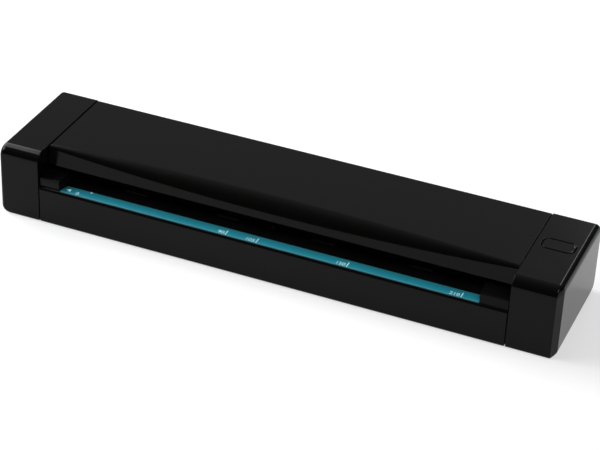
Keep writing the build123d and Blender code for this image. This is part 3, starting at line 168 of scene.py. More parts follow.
def gloss_black():
    """Polished black moulding: faint dust, a gloss that drifts and a slight waviness."""
    made, tree, shader = material("gloss_black")
    stops = [(0.0, (0.0013, 0.0014, 0.0012)), (0.74, (0.0015, 0.0016, 0.0014)), (0.8, grey(0.02))]
    dust = ramp(tree, noise(tree, 2500.0, 2.0), stops)
    gloss = drift(tree, noise(tree, 25.0), grey(0.10), grey(0.17))
    tree.links.new(dust, shader.inputs["Base Color"])
    tree.links.new(gloss, shader.inputs["Roughness"])
    shader.inputs["Specular IOR Level"].default_value = 0.115
    bump(tree, shader, noise(tree, 300.0, 2.0), 0.05)
    return made


finishes = {
    "black_gloss": gloss_black(),
    "black_matte": finish_of(
        "grained_black", grey(0.0015), grey(0.0025), (0.2, 0.3), 3000.0, 0.1, specular=0.08
    ),
    "teal_strip": strip_teal(),
    "grey_plastic": finish_of("grey_plastic", grey(0.03), grey(0.04), (0.4, 0.55), 2500.0, 0.2),
    "white_plastic": finish_of("white_film", grey(0.72), grey(0.8), (0.45, 0.6), 2000.0, 0.1),
    "gear_plastic": finish_of(
        "gear_plastic", (0.6, 0.58, 0.5), (0.66, 0.64, 0.56), (0.35, 0.5), 2000.0, 0.1
    ),
    "rubber": finish_of("rubber", grey(0.006), grey(0.01), (0.65, 0.85), 4000.0, 0.5, specular=0.2),
    "steel": finish_of(
        "ground_steel", grey(0.5), grey(0.58), (0.22, 0.34), 5000.0, 0.1, metallic=1.0
    ),
    "spring_steel": finish_of(
        "spring_steel", grey(0.42), grey(0.5), (0.25, 0.35), 5000.0, 0.1, metallic=1.0
    ),
    "brass": finish_of(
        "bronze", (0.55, 0.36, 0.14), (0.62, 0.42, 0.18), (0.3, 0.45), 4000.0, 0.2, metallic=1.0
    ),
    "board": finish_of(
        "circuit_board", (0.01, 0.08, 0.03), (0.014, 0.1, 0.04), (0.3, 0.45), 900.0, 0.2
    ),
    "chip": finish_of("chip", grey(0.01), grey(0.016), (0.45, 0.6), 4000.0, 0.2),
    "clear_glass": finish_of(
        "scan_glass", (0.02, 0.035, 0.03), (0.025, 0.04, 0.035), (0.03, 0.06), 500.0, 0.0
    ),
    "clear_plastic": finish_of("light_guide", grey(0.5), grey(0.6), (0.1, 0.2), 900.0, 0.0),
    "cable": finish_of("cable", grey(0.02), grey(0.03), (0.5, 0.6), 3000.0, 0.2),
    "ribbon": finish_of("ribbon", (0.5, 0.5, 0.48), (0.6, 0.6, 0.58), (0.35, 0.45), 900.0, 0.1),
    "screw_steel": finish_of(
        "plated_screw", grey(0.08), grey(0.12), (0.3, 0.45), 4000.0, 0.1, metallic=1.0
    ),
}
for name, part in nodes.items():
    for material_slot in part.material_slots:
        material_slot.material = finishes[slot_of[name]]

# Shapes, in millimetres, their sharp edges in degrees
ARC_STEPS = 10
EDGE_STEPS = 4
CIRCLE_STEPS = 48
SHARP_EDGE = 35.0
SHARP_BED_EDGE = 30.0


def rounded(corners, radii):
    """A closed outline with rounded corners. A radius of 0 keeps a corner sharp."""
    points = []
    for i, (corner, radius) in enumerate(zip(corners, radii)):
        here = Vector(corner)
        before = (Vector(corners[i - 1]) - here).normalized()
        after = (Vector(corners[(i + 1) % len(corners)]) - here).normalized()
        if radius == 0:
            points.append(here)
            continue
        half = before.angle(after) / 2
        centre = here + (before + after).normalized() * radius / sin(half)
        first = here + before * radius / tan(half) - centre
        last = here + after * radius / tan(half) - centre
        turn = pi - 2 * half
        for step in range(ARC_STEPS + 1):
            share = step / ARC_STEPS
            arm = (first * sin((1 - share) * turn) + last * sin(share * turn)) / sin(turn)
            points.append(centre + arm)
    return points


def quarter(radius, steps):
    """Steps of a rounded edge: (distance along from where it starts, distance in from the face)."""
    angles = [pi / 2 * step / steps for step in range(steps + 1)]
    return [(radius * (1 - cos(angle)), radius * (1 - sin(angle))) for angle in angles]


def spaced(start, end, count):
    """Evenly spaced places from start to end."""
    return [start + (end - start) * i / (count - 1) for i in range(count)]


def linked(name, data):
    """A new object in the scene."""
    made = bpy.data.objects.new(name, data)
    bpy.context.scene.collection.objects.link(made)
    return made


def piece(name, bm):
    """A new object from a bmesh made in millimetres."""
    bmesh.ops.recalc_face_normals(bm, faces=bm.faces)
    bmesh.ops.scale(bm, vec=Vector((MM, MM, MM)), verts=bm.verts)
    mesh = bpy.data.meshes.new(name)
    bm.to_mesh(mesh)
    bm.free()
    return linked(name, mesh)


def skin(bm, rings):
    """A closed solid through rings of equally many points, with a flat face at both ends."""
    rows = [[bm.verts.new(point) for point in ring] for ring in rings]
    for near, far in pairwise(rows):
        for i in range(len(near)):
            bm.faces.new((near[i - 1], near[i], far[i], far[i - 1]))
    bm.faces.new(rows[0])
    bm.faces.new(rows[-1])


def solid(name, rings):
    """A new object from the rings of one closed solid."""
    bm = bmesh.new()
    skin(bm, rings)
    return piece(name, bm)


def turned(bm, profile, centre, axis="Z"):
    """A solid turned about an axis through (radius, place along the axis) points."""
    angles = [2 * pi * i / CIRCLE_STEPS for i in range(CIRCLE_STEPS)]
    rings = []
    for radius, along in profile:
        ring = [(centre[0] + radius * cos(turn), centre[1] + radius * sin(turn)) for turn in angles]
        rings.append([(u, v, along) if axis == "Z" else (along, u, v) for u, v in ring])
    skin(bm, rings)


def rod(bm, radius, start, end, centre, axis="Z"):
    """A cylinder from start to end along an axis."""
    turned(bm, [(radius, start), (radius, end)], centre, axis)


def slab(bm, low, high):
    """A plain box between two corners."""
    corners = ((low[0], low[1]), (high[0], low[1]), (high[0], high[1]), (low[0], high[1]))
    skin(bm, [[(x, y, z) for x, y in corners] for z in (low[2], high[2])])


def settle(target):
    """Makes the result of a piece's modifiers its mesh."""
    graph = bpy.context.evaluated_depsgraph_get()
    made = bpy.data.meshes.new_from_object(target.evaluated_get(graph))
    target.modifiers.clear()
    target.data = made


def combine(target, tool_mesh, operation):
    """Cuts a bmesh solid from the target, or joins it on."""
    tool = piece("tool", tool_mesh)
    modifier = target.modifiers.new("cut", "BOOLEAN")
    modifier.operation = operation
    modifier.solver = "EXACT"
    modifier.object = tool
    bpy.context.view_layer.update()
    settle(target)
    bpy.data.objects.remove(tool)


def place(made, node, sharp=SHARP_EDGE):
    """Shades a piece, and puts it in the place of a CAD node."""
    made.data.shade_smooth()
    made.data.set_sharp_from_angle(angle=radians(sharp))
    made.modifiers.new("even_normals", "WEIGHTED_NORMAL").keep_sharp = True
    made.data.materials.clear()
    made.data.materials.append(finishes[slot_of[node]])
    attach(made, body_of[node])
    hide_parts(node)


def box_mm(node):
    """The two corners of a node's box, in millimetres."""
    low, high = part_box(node)
    return low / MM, high / MM


# Sizes that the frame gives
left_low, left_high = box_mm("left_end_cap")
right_low, right_high = box_mm("right_end_cap")
tub_low, tub_high = box_mm("bottom_case")
cover_low, cover_high = box_mm("top_cover")
strip_low, strip_high = box_mm("guide_strip")
button_low, button_high = box_mm("scan_button")
LOW, HIGH = right_low.z, right_high.z
FRONT, BACK = right_low.y, right_high.y

# Sizes of the mouldings
WALL = 1.8
EDGE = 0.3
RIM_EDGE = 0.2
END_FACE_EDGE = 0.4
INNER_END_RADIUS = 1.4
FRONT_LOW_RADIUS = 0.6
BACK_LOW_RADIUS = 5.1
BACK_TOP_RADIUS = 3.3
FRONT_TOP_RADIUS = 5.6
LEAST_RADIUS = 0.5
SPARE = 0.5

# Screws, holes, posts and feet of the mouldings
PATH_CENTRE = -2.85
HOLE_RADIUS = 1.05
HOLE_CHAMFER = 0.2
HEAD_RADIUS = 2.1
HEAD_DEPTH = 1.0
CAP_SCREW_REACH = 5.8
CAP_SCREW_ROWS = (-17.0, 17.0)
GUIDE_SCREWS = [(PATH_CENTRE + side * 75.0, y) for side in (-1, 1) for y in (-24.0, 8.6)]
COVER_SCREWS = [(PATH_CENTRE + side * 50.0, y) for side in (-1, 1) for y in (-8.2, 22.9)]
FEET = [(side * 105.0, end * 21.0) for side in (-1, 1) for end in (-1, 1)]
POST_RADIUS = 1.6
POST_INSET = 1.6
POST_SCREW = 4.6


def case_ring(x, front, low=None, back=None, top=None):
    """The body's end view at x, drawn in by a distance for each side, or by one for all."""
    low, back, top = (front if draw is None else draw for draw in (low, back, top))
    corners = [
        (FRONT + front, LOW + low),
        (BACK - back, LOW + low),
        (BACK - back, HIGH - top),
        (FRONT + front, HIGH - top),
    ]
    radii = [FRONT_LOW_RADIUS, BACK_LOW_RADIUS, BACK_TOP_RADIUS, FRONT_TOP_RADIUS]
    draws = [front + low, low + back, back + top, top + front]
    drawn_radii = [max(radius - draw / 2, LEAST_RADIUS) for radius, draw in zip(radii, draws)]
    return [(x, y, z) for y, z in rounded(corners, drawn_radii)]


def oval_edge(depth, height):
    """An end edge, a quarter ellipse: its rings' depths, and how far any depth is drawn in."""

    def drawn_at(spot):
        return height * (1 - sqrt(1 - max(1 - spot / depth, 0) ** 2))

    return [depth * along for along, _ in quarter(1.0, ARC_STEPS)], drawn_at


def bevel_edge(depth, height, rounding):
    """An end edge like oval_edge's, but a slant, rounded where it meets the two faces."""
    line = [(0.0, height + SPARE), (0.0, height), (depth, 0.0), (depth + SPARE + rounding, 0.0)]
    points = rounded(line, [0, END_FACE_EDGE, rounding, 0])[1:-1]

    def drawn_at(spot):
        if spot <= points[0][0]:
            return points[0][1]
        for near, far in pairwise(points):
            if spot <= far[0]:
                return near[1] + (far[1] - near[1]) * (spot - near[0]) / (far[0] - near[0])
        return 0.0

    return [point[0] for point in points], drawn_at


# End edges of the caps, for front, low, back and top
LEFT_EDGES = (oval_edge(1.8, 1.8), oval_edge(5.0, 5.0), oval_edge(0.8, 0.8), oval_edge(3.0, 3.0))
RIGHT_EDGES = (
    bevel_edge(2.2, 5.0, 0.6),
    oval_edge(1.8, 1.8),
    oval_edge(0.8, 0.8),
    oval_edge(3.0, 4.2),
)


def sunk_hole(bm, point, head_radius, head_top, top):
    """A cutter up from the underside for a screw with a sunk head."""
    profile = [
        (head_radius + HOLE_CHAMFER + SPARE, LOW - SPARE),
        (head_radius, LOW + HOLE_CHAMFER),
        (head_radius, head_top),
        (HOLE_RADIUS, head_top),
        (HOLE_RADIUS, top),
    ]
    turned(bm, profile, point)


def cap(name, seam_x, end_x, edges):
    """A hollow end cap, open at the seam, with its two screw holes."""
    outward = 1 if end_x > seam_x else -1
    width = abs(end_x - seam_x)
    inner_edge = quarter(INNER_END_RADIUS, EDGE_STEPS)
    stations = [(width - WALL - along, WALL + drawn) for along, drawn in inner_edge]
    stations += [(drawn, WALL - along) for along, drawn in quarter(RIM_EDGE, EDGE_STEPS)]
    stations += quarter(EDGE, EDGE_STEPS)
    rings = [case_ring(seam_x + outward * along, inset) for along, inset in stations]
    depths = {round(depth, 3) for places, _ in edges for depth in places}
    for depth in sorted(depths, reverse=True):
        draws = [drawn_at(depth) for _, drawn_at in edges]
        rings.append(case_ring(end_x - outward * depth, *draws))
    made = solid(name, rings)
    holes = bmesh.new()
    for y in CAP_SCREW_ROWS:
        point = (seam_x + outward * CAP_SCREW_REACH, y)
        sunk_hole(holes, point, HEAD_RADIUS, LOW + HEAD_DEPTH, LOW + WALL + SPARE)
    combine(made, holes, "DIFFERENCE")
    return made


def panel_ring(centre, half, corner, z):
    """A level rounded rectangle."""
    corners = [(-half[0], -half[1]), (half[0], -half[1]), (half[0], half[1]), (-half[0], half[1])]
    return [(centre[0] + x, centre[1] + y, z) for x, y in rounded(corners, [corner] * 4)]


def opening(half, corner, rim):
    """A cutter through a wall, down from the origin, that rounds the opening's rim."""
    levels = [(rim, SPARE)] + [(drawn, -along) for along, drawn in quarter(rim, EDGE_STEPS)]
    levels.append((0.0, -WALL - SPARE))
    rings = []
    for out, z in levels:
        rings.append(panel_ring((0, 0), (half[0] + out, half[1] + out), corner + out, z))
    bm = bmesh.new()
    skin(bm, rings)
    return bm


# End caps, the right one with its button opening, its data socket and its button board's posts
BUTTON_PLAY = 0.4
BUTTON_CORNER = 3.0
BUTTON_FLANGE = 0.5
BUTTON_RIM = 0.45
SOCKET_PLAY = 0.25
SOCKET_CORNER = 0.6
place(cap("left_cap_shell", left_high.x, left_low.x, LEFT_EDGES), "left_end_cap")

right_cap = cap("right_cap_shell", right_low.x, right_high.x, RIGHT_EDGES)
button_centre = (button_low + button_high) / 2
button_half = (button_high - button_low) / 2 - Vector((BUTTON_FLANGE, BUTTON_FLANGE, 0))
hole_half = (button_half.x + BUTTON_PLAY, button_half.y + BUTTON_PLAY)
hole = opening(hole_half, BUTTON_CORNER + BUTTON_PLAY, BUTTON_RIM)
hole_place = Vector((button_centre.x, button_centre.y, HIGH))
bmesh.ops.translate(hole, vec=hole_place, verts=hole.verts)
combine(right_cap, hole, "DIFFERENCE")

socket_low, socket_high = box_mm("usb_socket")
socket_half = (socket_high - socket_low) / 2
socket_place = (socket_low + socket_high) / 2
socket_place.y = BACK
hole = opening((socket_half.x + SOCKET_PLAY, socket_half.z + SOCKET_PLAY), SOCKET_CORNER, EDGE)
backward = Matrix.Rotation(radians(-90), 3, "X")
bmesh.ops.rotate(hole, cent=Vector(), matrix=backward, verts=hole.verts)
bmesh.ops.translate(hole, vec=socket_place, verts=hole.verts)
combine(right_cap, hole, "DIFFERENCE")

board_low, board_high = box_mm("button_board")
posts, bores = bmesh.new(), bmesh.new()
for post_y in (board_low.y + POST_INSET, board_high.y - POST_INSET):
    point = (button_centre.x, post_y)
    rod(posts, POST_RADIUS, board_high.z, HIGH - WALL / 2, point)
    rod(bores, HOLE_RADIUS, board_low.z, board_low.z + POST_SCREW, point)
combine(right_cap, posts, "UNION")
combine(right_cap, bores, "DIFFERENCE")
place(right_cap, "right_end_cap")

# Scan button, with a shallow dish in its top and its flange and stem below
BUTTON_EDGE = 0.3
BUTTON_DISH = ((2.6, 0.03), (1.8, 0.02), (1.1, 0.01))
BUTTON_FLANGE_TOP = HIGH - WALL - 0.1
BUTTON_FLANGE_LOW = BUTTON_FLANGE_TOP - 0.8
STEM_RADIUS = 1.2
STEM_CORNER = STEM_RADIUS - 0.01
levels = [(-inset, HIGH - depth) for inset, depth in BUTTON_DISH]
levels += [(-drawn, HIGH - along) for along, drawn in quarter(BUTTON_EDGE, EDGE_STEPS)]
levels += [
    (0, BUTTON_FLANGE_TOP),
    (BUTTON_FLANGE, BUTTON_FLANGE_TOP),
    (BUTTON_FLANGE, BUTTON_FLANGE_LOW),
]
rings = []
for out, z in levels:
    half = (button_half.x + out, button_half.y + out)
    rings.append(panel_ring(button_centre, half, BUTTON_CORNER + out, z))
for z in (BUTTON_FLANGE_LOW, button_low.z):
    rings.append(panel_ring(button_centre, (STEM_RADIUS, STEM_RADIUS), STEM_CORNER, z))
place(solid("button_cap", rings), "scan_button")

# Top cover, with a crescent-shaped rounding along its front edge
CRESCENT_END = 1.7
CRESCENT_MIDDLE = 6.9
COVER_FRONT = cover_low.y - 1.5
COVER_FRONT_LOW = 27.9
LEAN = radians(10.5)
UNDERCUT = 6.0
COVER_LOW_EDGE = 0.25
COVER_STATIONS = 36
COVER_TONGUE = 0.3
COVER_TONGUE_INSET = 0.7
HINGE_BOSS_RADIUS = 3.1
HINGE_BOSS_LENGTH = 4.0
HINGE_BORE = 1.55
SCREW_BOSS_RADIUS = 2.2
SCREW_BOSS_LOW = 23.0
COVER_SCREW_DEPTH = 6.1


def crescent_radius(x):
    """Radius whose rounding takes the crescent's width off the top and off the leaning front."""
    middle = (cover_low.x + cover_high.x) / 2
    share = (x - middle) / (cover_high.x - middle)
    width = CRESCENT_END + (CRESCENT_MIDDLE - CRESCENT_END) * (1 - share**2)
    return width * tan(pi / 4 + LEAN / 2)


def cover_ring(x, inset):
    """The cover's outer end view at x, drawn in by the given distance."""
    front, rear = COVER_FRONT + inset, cover_high.y - inset
    low, top = cover_low.z + inset, cover_high.z - inset
    step_y, step_z = cover_low.y + UNDERCUT, COVER_FRONT_LOW + inset
    top_front = front + (top - step_z) * tan(LEAN)
    corners = [
        (front, step_z),
        (step_y, step_z),
        (step_y, low),
        (rear, low),
        (rear, top),
        (top_front, top),
    ]
    radii = [COVER_LOW_EDGE] * 4 + [BACK_TOP_RADIUS - inset, crescent_radius(x) - inset]
    return [(x, y, z) for y, z in rounded(corners, radii)]


def cover_hollow_ring(x):
    """The end view at x of the space inside the cover, open downwards."""
    front, rear = cover_low.y + WALL, cover_high.y - WALL
    low, top = cover_low.z - SPARE, cover_high.z - WALL
    corners = [(front, low), (rear, low), (rear, top), (front, top)]
    radii = [0, 0, BACK_TOP_RADIUS - WALL, max(crescent_radius(x) - WALL, LEAST_RADIUS)]
    return [(x, y, z) for y, z in rounded(corners, radii)]


def bar_rings(ring, low_x, high_x, stations, tongue, tongue_insets):
    """Rings of a bar along X with rounded end edges and a tongue into the seam at each end."""
    edge = quarter(EDGE, EDGE_STEPS)
    rings = [ring(x, *tongue_insets) for x in (low_x - tongue, low_x)]
    rings += [ring(low_x + along, inset) for along, inset in edge]
    rings += [ring(x, 0) for x in stations]
    rings += [ring(high_x - along, inset) for along, inset in reversed(edge)]
    rings += [ring(x, *tongue_insets) for x in (high_x, high_x + tongue)]
    return rings


stations = spaced(cover_low.x + EDGE, cover_high.x - EDGE, COVER_STATIONS)[1:-1]
rings = bar_rings(
    cover_ring, cover_low.x, cover_high.x, stations, COVER_TONGUE, (COVER_TONGUE_INSET,)
)
cover = solid("cover_shell", rings)
hollow = bmesh.new()
stations = spaced(cover_low.x + WALL, cover_high.x - WALL, COVER_STATIONS)
skin(hollow, [cover_hollow_ring(x) for x in stations])
combine(cover, hollow, "DIFFERENCE")
pins_low, pins_high = box_mm("hinge_pins")
hinge = ((pins_low.y + pins_high.y) / 2, (pins_low.z + pins_high.z) / 2)
bosses, bores = bmesh.new(), bmesh.new()
for end_x, inward in ((cover_low.x, 1), (cover_high.x, -1)):
    tip = end_x + inward * (WALL + HINGE_BOSS_LENGTH)
    rod(bosses, HINGE_BOSS_RADIUS, end_x + inward * WALL / 2, tip, hinge, "X")
    rod(bores, HINGE_BORE, end_x - inward * SPARE, tip + inward * SPARE, hinge, "X")
for point in COVER_SCREWS:
    rod(bosses, SCREW_BOSS_RADIUS, SCREW_BOSS_LOW, cover_high.z - WALL / 2, point)
    rod(bores, HOLE_RADIUS, SCREW_BOSS_LOW - SPARE, SCREW_BOSS_LOW + COVER_SCREW_DEPTH, point)
combine(cover, bosses, "UNION")
combine(cover, bores, "DIFFERENCE")
place(cover, "top_cover")

# Bottom case, a tub with a rounded front lip
LIP_RADIUS = 1.7
REAR_LIP_RADIUS = 0.9
REAR_TOP = 19.7
LEAST_TUB_RADIUS = 0.2
TUB_TONGUE = 0.42
TUB_TONGUE_INSET = 0.4
TUB_TONGUE_FRONT_INSET = 1.3
FLOOR_TOP = LOW + WALL
STRIP_FRONT = 0.9
STRIP_SIDE = 0.1
RIB_THICKNESS = 2.0
RIB_TOP = 11.5
FRAME_SCREWS = ((-10.9, 6.0), (23.0, 7.2))
FRAME_BOSS_RADIUS = 2.8
FRAME_BOSS_LENGTH = 8.0
GUIDE_POST_TOP = 15.4
GUIDE_HEAD_RADIUS = 1.95
GUIDE_HEAD_TOP = 13.4
FOOT_RADIUS = 4.5
FOOT_RECESS = 0.5


def tub_ring(x, inset, front_inset=None):
    """The case's outer end view at x, drawn in by a distance, or by another one in front."""
    front = FRONT + (inset if front_inset is None else front_inset)
    corners = [
        (front, LOW + inset),
        (BACK - inset, LOW + inset),
        (BACK - inset, REAR_TOP - inset),
        (front, tub_high.z - inset),
    ]
    radii = [FRONT_LOW_RADIUS, BACK_LOW_RADIUS, REAR_LIP_RADIUS, LIP_RADIUS]
    drawn_radii = [max(radius - inset, LEAST_TUB_RADIUS) for radius in radii]
    return [(x, y, z) for y, z in rounded(corners, drawn_radii)]


insets = (TUB_TONGUE_INSET, TUB_TONGUE_FRONT_INSET)
tub = solid("bottom_shell", bar_rings(tub_ring, tub_low.x, tub_high.x, [], TUB_TONGUE, insets))
trough = bmesh.new()
inner_corners = [
    (FRONT + WALL, FLOOR_TOP),
    (BACK - WALL, FLOOR_TOP),
    (BACK - WALL, tub_high.z + SPARE),
    (FRONT + WALL, tub_high.z + SPARE),
]
inner = rounded(inner_corners, [LEAST_RADIUS, BACK_LOW_RADIUS - WALL, 0, 0])
skin(trough, [[(x, y, z) for y, z in inner] for x in (tub_low.x - SPARE, tub_high.x + SPARE)])
combine(tub, trough, "DIFFERENCE")
rebate = bmesh.new()
slab(
    rebate,
    (strip_low.x - STRIP_SIDE, FRONT + STRIP_FRONT, strip_low.z),
    (strip_high.x + STRIP_SIDE, FRONT + WALL + SPARE, tub_high.z + SPARE),
)
combine(tub, rebate, "DIFFERENCE")
added, taken = bmesh.new(), bmesh.new()
for end_x, inward in ((tub_low.x, 1), (tub_high.x, -1)):
    rib_low, rib_high = sorted((end_x, end_x + inward * RIB_THICKNESS))
    slab(
        added,
        (rib_low, FRONT + BACK_LOW_RADIUS, FLOOR_TOP - SPARE),
        (rib_high, BACK - BACK_LOW_RADIUS, RIB_TOP),
    )
    tip = end_x + inward * FRAME_BOSS_LENGTH
    for point in FRAME_SCREWS:
        rod(added, FRAME_BOSS_RADIUS, end_x, tip, point, "X")
        rod(taken, HOLE_RADIUS, end_x - inward * SPARE, tip + inward * SPARE, point, "X")
for point in GUIDE_SCREWS:
    rod(added, FRAME_BOSS_RADIUS, LOW + WALL / 2, GUIDE_POST_TOP, point)
    sunk_hole(taken, point, GUIDE_HEAD_RADIUS, GUIDE_HEAD_TOP, GUIDE_POST_TOP + SPARE)
for point in FEET:
    rod(taken, FOOT_RADIUS, LOW - SPARE, LOW + FOOT_RECESS, point)
combine(tub, added, "UNION")
combine(tub, taken, "DIFFERENCE")
place(tub, "bottom_case")

# Feet, round pads with a soft edge and a shallow dish
FOOT_EDGE = 0.35
FOOT_DISH = 0.12
foot_top = box_mm("rubber_feet")[1].z
profile = [(FOOT_RADIUS * share, FOOT_DISH * (1 - share)) for share in (0.3, 0.5, 0.7)]
profile += [(FOOT_RADIUS - drawn, away) for away, drawn in quarter(FOOT_EDGE, EDGE_STEPS)]
profile.append((FOOT_RADIUS, foot_top))
feet = bmesh.new()
for point in FEET:
    turned(feet, profile, point)
place(piece("foot_pads", feet), "rubber_feet")

# Strip across the paper mouth
STRIP_GROOVE = 0.45
STRIP_EDGE = 0.15
STRIP_SIDES_BACK = FRONT + 2.5
STRIP_SLANT = 1.5
strip_corners = [
    (strip_low.x, strip_low.y + STRIP_GROOVE),
    (strip_high.x, strip_low.y + STRIP_GROOVE),
    (strip_high.x, STRIP_SIDES_BACK),
    (strip_high.x - STRIP_SLANT, strip_high.y),
    (strip_low.x + STRIP_SLANT, strip_high.y),
    (strip_low.x, STRIP_SIDES_BACK),
]
strip_rings = [[(x, y, z) for x, y in strip_corners] for z in (strip_low.z, strip_high.z)]
strip = solid("mouth_strip", strip_rings)
bevel = strip.modifiers.new("soft_edges", "BEVEL")
bevel.width = STRIP_EDGE * MM
bevel.segments = EDGE_STEPS
bevel.angle_limit = radians(30)
bpy.context.view_layer.update()
settle(strip)
place(strip, "guide_strip")

# Marks on the strip: a line and a plain number for each paper width, and a 0, an arrow and a dot
MARK_WIDTHS = {"90": -22.4, "105": -6.3, "150": 40.4, "210": 97.5}
MARK_START = -101.3
MARK_LINE = 0.42
MARK_LENGTH = 3.9
MARK_RISE = 0.03
NUMBER_SIZE = 3.4
NUMBER_SHIFT = 1.0
ARROW_X, ARROW_HALF = -108.6, 1.2
DOT_X, DOT_RADIUS = -97.2, 0.5


def number_mesh(body):
    """A flat number, its lower right corner at the origin, in millimetres."""
    curve = bpy.data.curves.new("number", "FONT")
    curve.body = body
    curve.size = NUMBER_SIZE
    curve.align_x = "RIGHT"
    curve.extrude = MARK_RISE / 2
    holder = linked("number", curve)
    graph = bpy.context.evaluated_depsgraph_get()
    mesh = bpy.data.meshes.new_from_object(holder.evaluated_get(graph))
    bpy.data.objects.remove(holder)
    return mesh


marks = bmesh.new()
mark_low, mark_top = strip_high.z, strip_high.z + MARK_RISE
line_front = strip_low.y + STRIP_GROOVE + STRIP_EDGE
for x in MARK_WIDTHS.values():
    slab(
        marks,
        (x - MARK_LINE / 2, line_front, mark_low),
        (x + MARK_LINE / 2, line_front + MARK_LENGTH, mark_top),
    )
for body, x in {**MARK_WIDTHS, "0": MARK_START}.items():
    known = len(marks.verts)
    marks.from_mesh(number_mesh(body))
    marks.verts.ensure_lookup_table()
    shift = Vector((x - NUMBER_SHIFT, line_front + MARK_LINE, mark_low + MARK_RISE / 2))
    bmesh.ops.translate(marks, vec=shift, verts=marks.verts[known:])
middle_y = (strip_low.y + strip_high.y) / 2
arrow = [
    (ARROW_X - ARROW_HALF, middle_y),
    (ARROW_X + ARROW_HALF, middle_y - ARROW_HALF),
    (ARROW_X + ARROW_HALF, middle_y + ARROW_HALF),
]
skin(marks, [[(x, y, z) for x, y in arrow] for z in (mark_low, mark_top)])
rod(marks, DOT_RADIUS, mark_low, mark_top, (DOT_X, strip_high.y - DOT_RADIUS - STRIP_EDGE))
mark_paint = finish_of("mark_paint", (0.42, 0.7, 0.74), (0.5, 0.76, 0.8), (0.4, 0.5), 2500.0, 0.05)
strip_marks = piece("strip_marks", marks)
strip_marks.data.materials.append(mark_paint)
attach(strip_marks, "base")

# Lower paper guide, its side blocks drawn out to the mouth
BLOCK_FRONT = FRONT + 1.2
BLOCK_BACK = FRONT + 16.0
BLOCK_TOP = 25.2
BLOCK_EDGE = 0.5
BLOCK_HALF_FRONT = 109.55
BLOCK_HALF_BACK = 108.45
bed_mesh = nodes["lower_paper_guide"].data.copy()
bed_mesh.transform(nodes["lower_paper_guide"].matrix_world)
bed = linked("paper_bed", bed_mesh)
block_corners = [
    (BLOCK_FRONT, tub_high.z),
    (BLOCK_BACK, tub_high.z),
    (BLOCK_BACK, BLOCK_TOP),
    (BLOCK_FRONT, BLOCK_TOP),
]
block_view = rounded(block_corners, [0, 0, BLOCK_EDGE, BLOCK_EDGE])
blocks = bmesh.new()
for side, outer_x in ((-1, tub_low.x + STRIP_SIDE), (1, tub_high.x - STRIP_SIDE)):
    inner = []
    for y, z in block_view:
        share = (y - BLOCK_FRONT) / (BLOCK_BACK - BLOCK_FRONT)
        half = BLOCK_HALF_FRONT + (BLOCK_HALF_BACK - BLOCK_HALF_FRONT) * share
        inner.append((PATH_CENTRE + side * half, y, z))
    skin(blocks, [[(outer_x, y, z) for y, z in block_view], inner])
combine(bed, blocks, "UNION")
place(bed, "lower_paper_guide", SHARP_BED_EDGE)

# Floor, a plane far larger than the view, with a soft shadow. Its glow shows to the camera and in
# reflections, but lights nothing
FLOOR_HALF = 4.0
FLOOR_GLOW = 0.45
floor_corners = [(-1, -1), (1, -1), (1, 1), (-1, 1)]
floor_mesh = bpy.data.meshes.new("floor")
floor_mesh.from_pydata(
    [(x * FLOOR_HALF, y * FLOOR_HALF, 0.0) for x, y in floor_corners], [], [(0, 1, 2, 3)]
)
floor = linked("floor", floor_mesh)
floor_paint, tree, shader = material("floor_paint")
shader.inputs["Base Color"].default_value = (0.9, 0.9, 0.9, 1.0)
shader.inputs["Roughness"].default_value = 0.9
shader.inputs["Specular IOR Level"].default_value = 0.1
glow = tree.nodes.new("ShaderNodeEmission")
rays = tree.nodes.new("ShaderNodeLightPath")
seen = tree.nodes.new("ShaderNodeMath")
seen.operation = "MAXIMUM"
tree.links.new(rays.outputs["Is Camera Ray"], seen.inputs[0])
tree.links.new(rays.outputs["Is Glossy Ray"], seen.inputs[1])
amount = tree.nodes.new("ShaderNodeMath")
amount.operation = "MULTIPLY"
amount.inputs[1].default_value = FLOOR_GLOW
tree.links.new(seen.outputs["Value"], amount.inputs[0])
blend = tree.nodes.new("ShaderNodeMixShader")
tree.links.new(amount.outputs["Value"], blend.inputs["Fac"])
tree.links.new(shader.outputs["BSDF"], blend.inputs[1])
tree.links.new(glow.outputs["Emission"], blend.inputs[2])
tree.links.new(blend.outputs["Shader"], tree.nodes["Material Output"].inputs["Surface"])
floor_mesh.materials.append(floor_paint)

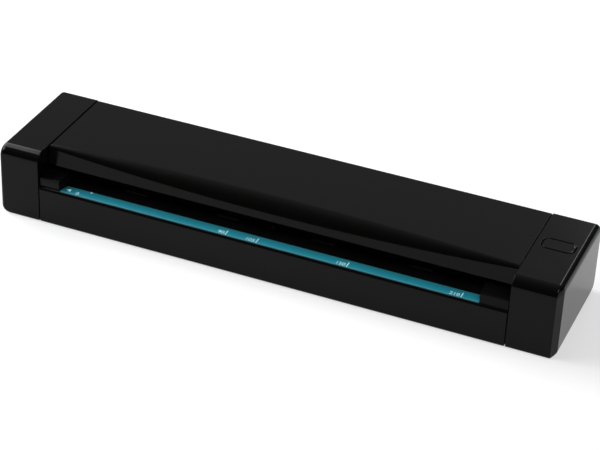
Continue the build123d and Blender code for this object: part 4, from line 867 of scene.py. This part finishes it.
# World: dim all round, darkest low down, in front and at the right
SKY = {
    "X": [(0.2, 0.85), (0.45, 1.0), (0.75, 0.4)],
    "Y": [(0.1, 0.1), (0.45, 0.5), (0.6, 0.9), (0.8, 1.0)],
    "Z": [(0.5, 0.25), (0.62, 0.5), (0.75, 1.0), (1.0, 1.0)],
}
SKY_STRENGTH = 0.5
world = bpy.data.worlds.new("studio")
bpy.context.scene.world = world
world.use_nodes = True
tree = world.node_tree
sky = None
for axis, stops in SKY.items():
    level = span(tree, "Generated", axis, -1.0, 1.0)
    tone = ramp(tree, level, [(spot, grey(value)) for spot, value in stops])
    sky = tone if sky is None else product(tree, sky, tone)
background = tree.nodes["Background"]
tree.links.new(sky, background.inputs["Color"])
background.inputs["Strength"].default_value = SKY_STRENGTH


def softbox(name, position, target, size, power):
    """An area lamp that faces the target, in metres and watts."""
    lamp = bpy.data.lights.new(name, "AREA")
    lamp.shape = "RECTANGLE"
    lamp.size, lamp.size_y = size
    lamp.energy = power
    holder = linked(name, lamp)
    holder.location = position
    facing = Vector(target) - Vector(position)
    holder.rotation_euler = facing.to_track_quat("-Z", "Y").to_euler()


softbox("overhead_left", (-1.02, 0.3, 0.85), (0.0, 0.45, 0.0), (1.2, 0.96), 22.0)
softbox("front_left", (-1.25, -0.6, 0.85), (0.0, 0.0, 0.0), (0.6, 0.6), 10.0)
softbox("right_fill", (0.75, -0.55, 1.35), (0.1, 0.0, 0.0), (0.8, 0.8), 11.0)
softbox("back_strip", (0.01, 1.23, 0.9), (0.142, 0.0, 0.038), (0.12, 0.5), 1.3)

# Camera at the photograph's angle
CAMERA_PLACE = Vector((0.32016, -0.7905, 0.5575))
CAMERA_RIGHT = Vector((0.9190, 0.3926, 0.0362)).normalized()
CAMERA_FORWARD = Vector((-0.3135, 0.7832, -0.5370)).normalized()
CAMERA_NOD = -0.00024
FOCAL_LENGTH = 123.96
SENSOR_WIDTH = 36.0
NEAREST_SEEN = 0.05
lens = bpy.data.cameras.new("camera")
lens.sensor_width = SENSOR_WIDTH
lens.lens = FOCAL_LENGTH
lens.clip_start = NEAREST_SEEN
camera = linked("camera", lens)
camera_up = CAMERA_RIGHT.cross(CAMERA_FORWARD).normalized()
axes = Matrix((CAMERA_RIGHT, camera_up, -CAMERA_FORWARD)).transposed()
nod = Matrix.Rotation(CAMERA_NOD, 4, "X")
camera.matrix_world = Matrix.Translation(CAMERA_PLACE) @ axes.to_4x4() @ nod
bpy.context.scene.camera = camera
bpy.context.scene.view_settings.view_transform = "Standard"
